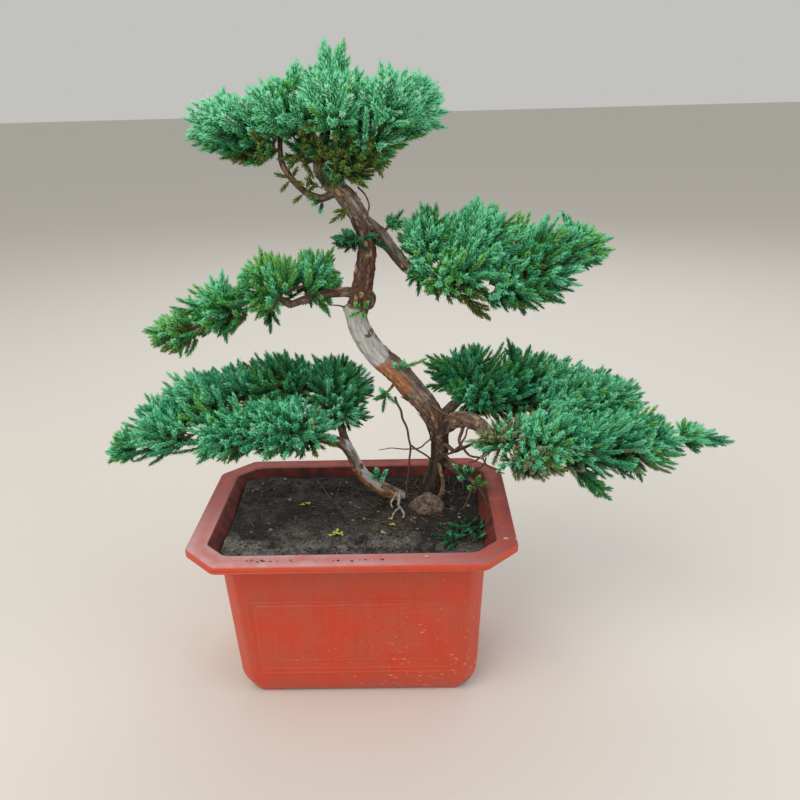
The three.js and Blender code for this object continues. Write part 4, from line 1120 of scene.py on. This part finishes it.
def shoot_pattern(length, seed):
    """One shoot that grows along +Z and bends towards +X: needles in whorls of three.

    A needle has four faces: two base corners, a ridge and the tip. Returns the corners and
    triangles of the needles, which needles are at the shoot's tip, and its stem as a tube.
    """
    random = Dice(seed)
    bend = 0.006 * random(0.2, 1.3)
    corners, triangles, at_tip = [], [], []
    whorls = int(round(length / WHORL_STEP))
    for whorl in range(whorls + 1):
        share, last = whorl / whorls, whorl == whorls
        z = share * (length - 3)
        spine, axis = np.array((bend * z * z, 0, z)), unit(np.array((2 * bend * z, 0, 1)))
        leaves = 5 if last else 3
        for leaf in range(leaves):
            turn = 2 * math.pi * (leaf / leaves + whorl / 6) + random(-0.3, 0.3)
            opening = math.radians(random(4, 15) if last else 36 - 12 * share + random(-5, 5))
            out = heading(turn)
            out = unit(out - axis * out.dot(axis))
            way = axis * math.cos(opening) + out * math.sin(opening)
            size = NEEDLE_LENGTH * random(0.82, 1.15) * (0.7 + 0.3 * min(1, share * 5))
            size *= 0.8 if last else 1
            base, across = spine + out * 0.25, np.cross(axis, out)
            half = across * NEEDLE_WIDTH / 2
            first = len(corners)
            corners += [base + half, base - half,
                        base + np.cross(way, across) * NEEDLE_THICKNESS, base + way * size]
            triangles += [[first + c for c in face]
                          for face in ((0, 1, 3), (1, 2, 3), (2, 0, 3), (0, 2, 1))]
            at_tip += [share > random(0.25, 0.6)] * 4
    line = [(bend * z * z, 0, z) for z in np.linspace(-1, length - 3, 3)]
    return (np.array(corners), np.array(triangles), np.array(at_tip),
            tube(line, SHOOT_RADII, 3))


PATTERNS = [[shoot_pattern(length, 1000 + 17 * kind + int(length)) for kind in range(4)]
            for length in SHOOT_LENGTHS]


def pick_tints(tone, hidden, roll):
    """The two colours of a shoot, as material numbers: its older needles and its tip."""
    for row in TONES[tone][1 if hidden else 0].split(", "):
        older, tip, share = row.split()
        roll -= int(share) / 100
        if roll <= 0:
            break
    return NEEDLE_NUMBER[older], NEEDLE_NUMBER[tip]


def add_shoot(needles, twigs, base, way, room, tints, random):
    """Adds the longest shoot that fits in the room, bent towards the light."""
    fitting = [i for i, length in enumerate(SHOOT_LENGTHS) if length <= room]
    if not fitting:
        return
    corners, triangles, at_tip, stem = PATTERNS[fitting[-1]][int(random() * 4) % 4]
    z = unit(way)
    x = np.array((random(-0.5, 0.5), random(-0.5, 0.5), 1.0))
    x = unit(x - z * x.dot(z))
    turn = np.array((x, np.cross(z, x), z))
    needles.add(corners @ turn + base, triangles, np.where(at_tip, tints[1], tints[0]))
    twigs.add(stem[0] @ turn + base, stem[1], 1)


def in_box(tip):
    """Whether a shoot's tip and its needles stay inside the model's box."""
    return (BOX_LOW < tip).all() and (tip < BOX_HIGH).all()


def read_lobe(x, y, z, long, deep, high, tone=None):
    """A lobe as its centre, its reach and its own tone."""
    return np.array((x, y, z), float), np.array((long, deep, high), float), tone


LOBES = {name: [[read_lobe(*row) for row in rows] for rows in entry[3:5]]
         for name, entry in MASSES.items()}


def lobe_reach(lobe, way):
    return 1 / np.linalg.norm(way / lobe[1])


def depth_in(lobe, point):
    """How far out a point lies in a lobe: 0 at its centre and 1 at its rim."""
    return np.linalg.norm((point - lobe[0]) / lobe[1])


def borders_of(lobe, name):
    """The planes that part a lobe from the lobes of other masses."""
    borders = []
    for other, (rivals, _) in LOBES.items():
        for rival in rivals if other != name else []:
            across = rival[0] - lobe[0]
            distance = np.linalg.norm(across)
            across /= distance
            own, theirs = lobe_reach(lobe, across), lobe_reach(rival, across)
            if own + theirs > NEIGHBOUR_SHARE * distance:
                borders.append((across, across.dot(lobe[0]) + own / (own + theirs) * distance))
    return borders


def twig_places(lobe, source, random):
    """Where the twigs of a lobe end, spread evenly over it, and which way they grow there."""
    centre, reach, _ = lobe
    x, y, z = reach ** 1.6
    area = 4 * math.pi * ((x * y + x * z + y * z) / 3) ** (1 / 1.6)
    small = reach.min() <= SMALL_REACH
    spacing = 1.6 * reach.min() if small else TWIG_SPACING
    count = int(round(area / spacing ** 2))
    for i in range(count):
        height = 1 - (1 - LOWEST_TWIG) * (i + 0.5) / count
        azimuth = i * GOLDEN_ANGLE + 0.5 * random()
        flat = math.sqrt(1 - height ** 2)
        radial = np.array((flat * math.cos(azimuth), flat * math.sin(azimuth), height))
        end = radial * reach * (random(0.2, 0.4) if small else random(*TWIG_SHARE)) + centre
        outward_way = unit(radial / reach)
        flow = unit((end - source) * (1, 1, 0.6))
        yield end, unit(outward_way * 0.5 + flow * 0.6 + np.array((0, 0, 0.14))), outward_way


class Mass:
    """One foliage mass while it grows on from its limb."""

    def __init__(self, name, samples):
        carrier, seed, self.tone, _, _, self.leaders, self.special = MASSES[name]
        self.name, self.carrier = name, samples[carrier]
        self.lobes = LOBES[name][0] + LOBES[name][1]
        self.stretch = CROWN_STRETCH if self.tone == "crown" else STRETCH
        self.random = Dice(seed)
        self.needles, self.twigs = Gathered(), Gathered()
        self.limbs = np.vstack([places for places, _ in samples.values()])
        self.thick = np.concatenate([radii for _, radii in samples.values()])

    def clear(self, point):
        """Whether a point lies outside every limb."""
        return (np.linalg.norm(self.limbs - point, axis=1) > self.thick).all()

    def shoot(self, base, way, longest, most_depth, borders, tints, older_and_shaded_tints, lobe):
        """A shoot as long as fits inside the mass, the model's box and the borders."""
        room = longest
        while room >= SHOOT_LENGTHS[0]:
            tip = base + way * room
            depth = min(depth_in(own, tip) for own in self.lobes)
            if (depth <= most_depth and in_box(tip)
                    and all(across.dot(tip) < limit + BORDER_GIVE for across, limit in borders)):
                break
            room -= 2
        if (room < SHOOT_LENGTHS[0] or depth < HIDDEN_DEPTH
                or not self.clear(base + way * 0.6 * room)):
            return
        # A shoot low in its lobe or deep inside it takes the darker tints: partly older needles and
        # partly painted shade
        sunk = (tip[2] - lobe[0][2]) / lobe[1][2] < -0.4 or depth < HIDDEN_DEPTH + 0.06
        add_shoot(self.needles, self.twigs, base, way, room, older_and_shaded_tints if sunk else tints,
                  self.random)

    def spray(self, line, way, outward_way, most_depth, borders, lobe):
        """A flat spray: a shoot that carries the twig on, and others that lean off by turns."""
        random, tone = self.random, lobe[2] or self.tone
        if tone == "shade" and line[-1][2] > lobe[0][2]:
            tone = self.tone
        clump = 0.5 + 0.5 * noise.cell(Vector(line[-1]) / CLUMP_SIZE)
        tints = pick_tints(tone, False, clump if random() < CLUMP_SHARE else random())
        older_and_shaded_tints = pick_tints(tone, True, random())
        side = np.cross(way, outward_way)
        side = unit(side) if np.linalg.norm(side) > 0.25 else unit(np.cross(way, (0.3, 0.2, 1)))
        tilt = random(-0.6, 0.6)
        side = side * math.cos(tilt) + np.cross(way, side) * math.sin(tilt)
        length = np.linalg.norm(line[-1] - line[0])
        count = max(3, int(round(length * DRESSED_SHARE / SHOOT_STEP)))
        hand = 1 if random() < 0.5 else -1
        for i in range(count + 1):
            lean = math.radians(random(0, 10) if i == 0 else random(*SIDE_LEAN))
            hand = -hand
            out = (way * math.cos(lean) + side * hand * math.sin(lean)
                   + outward_way * random(-0.12, 0.2))
            longest = self.stretch * (LEAD_SHOOT if i == 0 else random(*SIDE_SHOOT))
            own = tints if random() < 0.85 else pick_tints(tone, False, random())
            base = along_line(line, 1 - DRESSED_SHARE * i / count)
            self.shoot(base, unit(out), longest, most_depth, borders, own, older_and_shaded_tints, lobe)

    def plume(self, tip, start):
        """A leader: a long twig that shoots clothe on all sides."""
        random = self.random
        centre, reach, _ = min(self.lobes, key=lambda lobe: np.linalg.norm(tip - lobe[0]))
        start = start if len(start) else centre
        way = unit(tip - start)
        tip = tip - way * TIP_NEEDLES
        # A leader under its lobe takes the darker tints: partly older needles and partly painted
        # shade
        tints = pick_tints(self.tone, tip[2] < centre[2] - 0.8 * reach[2], random())
        line = bowed(start, start + way * (np.linalg.norm(tip - start) - 12), 1)
        self.twigs.add(*tube(line, LEADER_RADII, 4), 0)
        add_shoot(self.needles, self.twigs, tip - way * PLUME_TIP, way, PLUME_TIP, tints, random)
        side = unit(np.cross(way, (0.31, 0.22, 0.93)))
        for i in range(PLUME_SHOOTS):
            back = i * PLUME_REACH / PLUME_SHOOTS
            base = tip - way * (16 + back)
            if (base - start).dot(way) < 2:
                break
            turn, lean = i * GOLDEN_ANGLE, math.radians(random(10, 30))
            out = side * math.cos(turn) + np.cross(way, side) * math.sin(turn)
            out = way * math.cos(lean) + out * math.sin(lean)
            room = min(LEAD_SHOOT, 14 + back * 0.4)
            if in_box(base + out * room):
                add_shoot(self.needles, self.twigs, base, out, room, tints, random)

    def grow(self):
        """The stem, the twigs through the lobes with their sprays, and the leaders."""
        random, first = self.random, self.lobes[0][0]
        from_side = "from_side" in self.special
        nearest = np.argmin(np.linalg.norm(self.carrier[0] - first, axis=1)) if from_side else -1
        root, stem = (samples[nearest] for samples in self.carrier)
        if from_side:
            stem = min(stem, SIDE_STEM)
        source = np.array(self.special.get("source", root), float)
        self.twigs.add(*tube(bowed(root, first, 0.06 * np.linalg.norm(first - root)),
                             np.linspace(stem, 0.5 * stem, 5), 7), 0)
        main = LOBES[self.name][0]
        parents = self.special.get("parents", range(-1, len(main) - 1))
        for number, lobe in enumerate(self.lobes):
            centre, reach, _ = lobe
            borders = borders_of(lobe, self.name)
            if number:
                start = main[parents[number]][0] if number < len(main) else min(
                    (own[0] for own in main), key=lambda place: np.linalg.norm(place - centre))
                self.twigs.add(*tube(bowed(start, centre, 3), np.linspace(0.7, 0.35, 5) * stem,
                                     6), 0)
            back = unit((source - centre) * (1, 1, 0)) * 0.35 * min(reach[:2])
            for end, way, outward_way in twig_places(lobe, source, random):
                other = min([depth_in(own, end) for own in self.lobes if own is not lobe] + [9])
                inside = all(across.dot(end) < limit for across, limit in borders)
                if other < 0.5 or not inside or not self.clear(end):
                    continue
                line = bowed(centre + back * random(), end, random(-1.5, 3))
                self.twigs.add(*tube(line, TWIG_RADII, 4), 0)
                rim = random(*RIM) + RIM_SWING * noise.noise(Vector(end) * CLUMP_SCALE)
                self.spray(line, way, outward_way,
                           SMALL_RIM if reach.min() <= SMALL_REACH else rim, borders, lobe)
        for leader in self.leaders:
            self.plume(*np.split(np.array(leader, float), [3]))
        for kind, slot, gathered, looks in (("needles_", "foliage", self.needles, NEEDLES.values()),
                                            ("twigs_", "bark", self.twigs, TWIG_LOOKS)):
            for piece in gathered.make(kind + self.name, slot, looks):
                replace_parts(piece, "foliage_" + self.name)


def grow_small():
    """Sprouts on the limbs, clippings and seedlings on the soil, thin twigs and rootlets."""
    random = Dice(2203)
    needles, twigs, wood, leaves = (Gathered() for _ in range(4))
    for foot, tips, *colours in SPROUTS:
        for tip in tips:
            way = np.subtract(tip, foot).astype(float)
            twigs.add(*tube(bowed(foot, foot + way * 0.4, 0), (0.5,) * 5, 3), 1)
            add_shoot(needles, twigs, foot + way * 0.3, way, max(9, 0.8 * np.linalg.norm(way)),
                      [NEEDLE_NUMBER[colour] for colour in colours], random)
    for i in range(CLIPPINGS):
        x, y = CLIPPINGS_MIDDLE[0] + random(-22, 8), CLIPPINGS_MIDDLE[1] + random(-15, 14)
        turn = random(0, 2 * math.pi)
        base = (x, y, soil_height(x, y) + random(1.4, 4))
        colour = ("blue", "mid", "mid", "deep")[i % 4]
        add_shoot(needles, twigs, base, heading(turn, random(-0.1, 0.2)), random(9, 16),
                  (NEEDLE_NUMBER["deep"], NEEDLE_NUMBER[colour]), random)
    for look, lines in enumerate((THIN_TWIGS, BARE_ROOTLETS)):
        for line, thick, thin in lines:
            rows = [(x, y, max(z, soil_height(x, y) + 0.5), radius)
                    for (x, y, z), radius in zip(line, np.linspace(thick, thin, len(line)))]
            places, radii, _ = smooth_line(rows, 2.5)
            wobble = np.array([(0.3 + 0.7 * thick) * noise.noise_vector(Vector(p) * 0.13)
                               for p in places])
            wood.add(*tube(places + wobble, radii, 6), look)
    for i in range(STICKS):
        x, y = (random(-98, 98), random(-60, 62)) if i % 3 else (random(10, 98), random(-20, 60))
        turn, long = random(0, 2 * math.pi), random(4, 19)
        way = heading(turn)
        bow = np.cross(way, (0, 0, 1)) * random(-0.16, 0.16) * long
        line = [np.array((x, y, 0)) + way * long * share + bow * 4 * share * (1 - share)
                for share in (0, 0.33, 0.66, 1)]
        if all(abs(place[0]) < 101 and abs(place[1]) < 64 for place in line):
            line = [(px, py, soil_height(px, py) + random(0.2, 1.3)) for px, py, _ in line]
            wood.add(*tube(line, np.linspace(random(0.3, 0.75), 0.25, 4), 5), 0)
    for x, y, size in SEEDLINGS:
        z = soil_height(x, y)
        base = np.array((x, y, z + 3))
        wood.add(*tube(bowed((x, y + 2, z - 1), base, 0), (0.35,) * 5, 4), 0)
        for leaf in range(3):
            way = heading(2 * math.pi * (leaf + random()) / 3, 0.5) * size
            corners, triangles = tube([base, base + way * 0.5, base + way],
                                      (0.3, size * 0.36, 0.15), 8)
            corners[:, 2] = base[2] + (corners[:, 2] - base[2]) * 0.35
            leaves.add(corners, triangles, 0)
    needles.make("needles_small_growth", "foliage", NEEDLES.values())
    twigs.make("twigs_small_growth", "bark", TWIG_LOOKS)
    wood.make("thin_twigs_and_rootlets", "bark", ROOTLET_LOOKS)
    leaves.make("weed_seedlings", "foliage", (WEED_LEAF,))


# The camera, the floor and the lights


def set_stage():
    floor = primitive("floor", bpy.ops.mesh.primitive_plane_add, size=FLOOR_SIZE)
    floor.data.materials.append(Look("matt_paper_floor", "#d6d2cb", 0.9).material)
    bpy.ops.object.camera_add(location=Vector(EYE) * MM)
    camera = bpy.context.object
    camera.rotation_euler = Matrix(
        (RIGHT, UPWARD, -Vector(FORWARD))).transposed().to_euler()
    camera.data.sensor_width, camera.data.lens = SENSOR_WIDTH, LENS
    camera.data.clip_start = 0.01
    bpy.context.scene.camera = camera
    world = bpy.data.worlds.new("studio")
    world.use_nodes = True
    sky = world.node_tree.nodes["Background"].inputs
    sky["Color"].default_value = linear(SKY_COLOUR)
    sky["Strength"].default_value = SKY_STRENGTH
    bpy.context.scene.world = world
    bpy.context.scene.view_settings.view_transform = "Standard"
    for place, size, power, colour in LIGHTS:
        bpy.ops.object.light_add(type="AREA", location=place)
        light = bpy.context.object
        light.data.size, light.data.energy = size, power
        light.data.color = linear(colour)[:3]
        way = Vector(AIM) - light.location
        light.rotation_euler = way.to_track_quat("-Z", "Y").to_euler()


set_stage()
build_pot()
build_panels()
build_soil()
limb_samples = build_limbs()
scatter_flakes()
build_root_crown()
crumb = lump()
scatter_crumbs(*crumb)
scatter_splashes(*crumb)
for mass_name in MASSES:
    Mass(mass_name, limb_samples).grow()
grow_small()
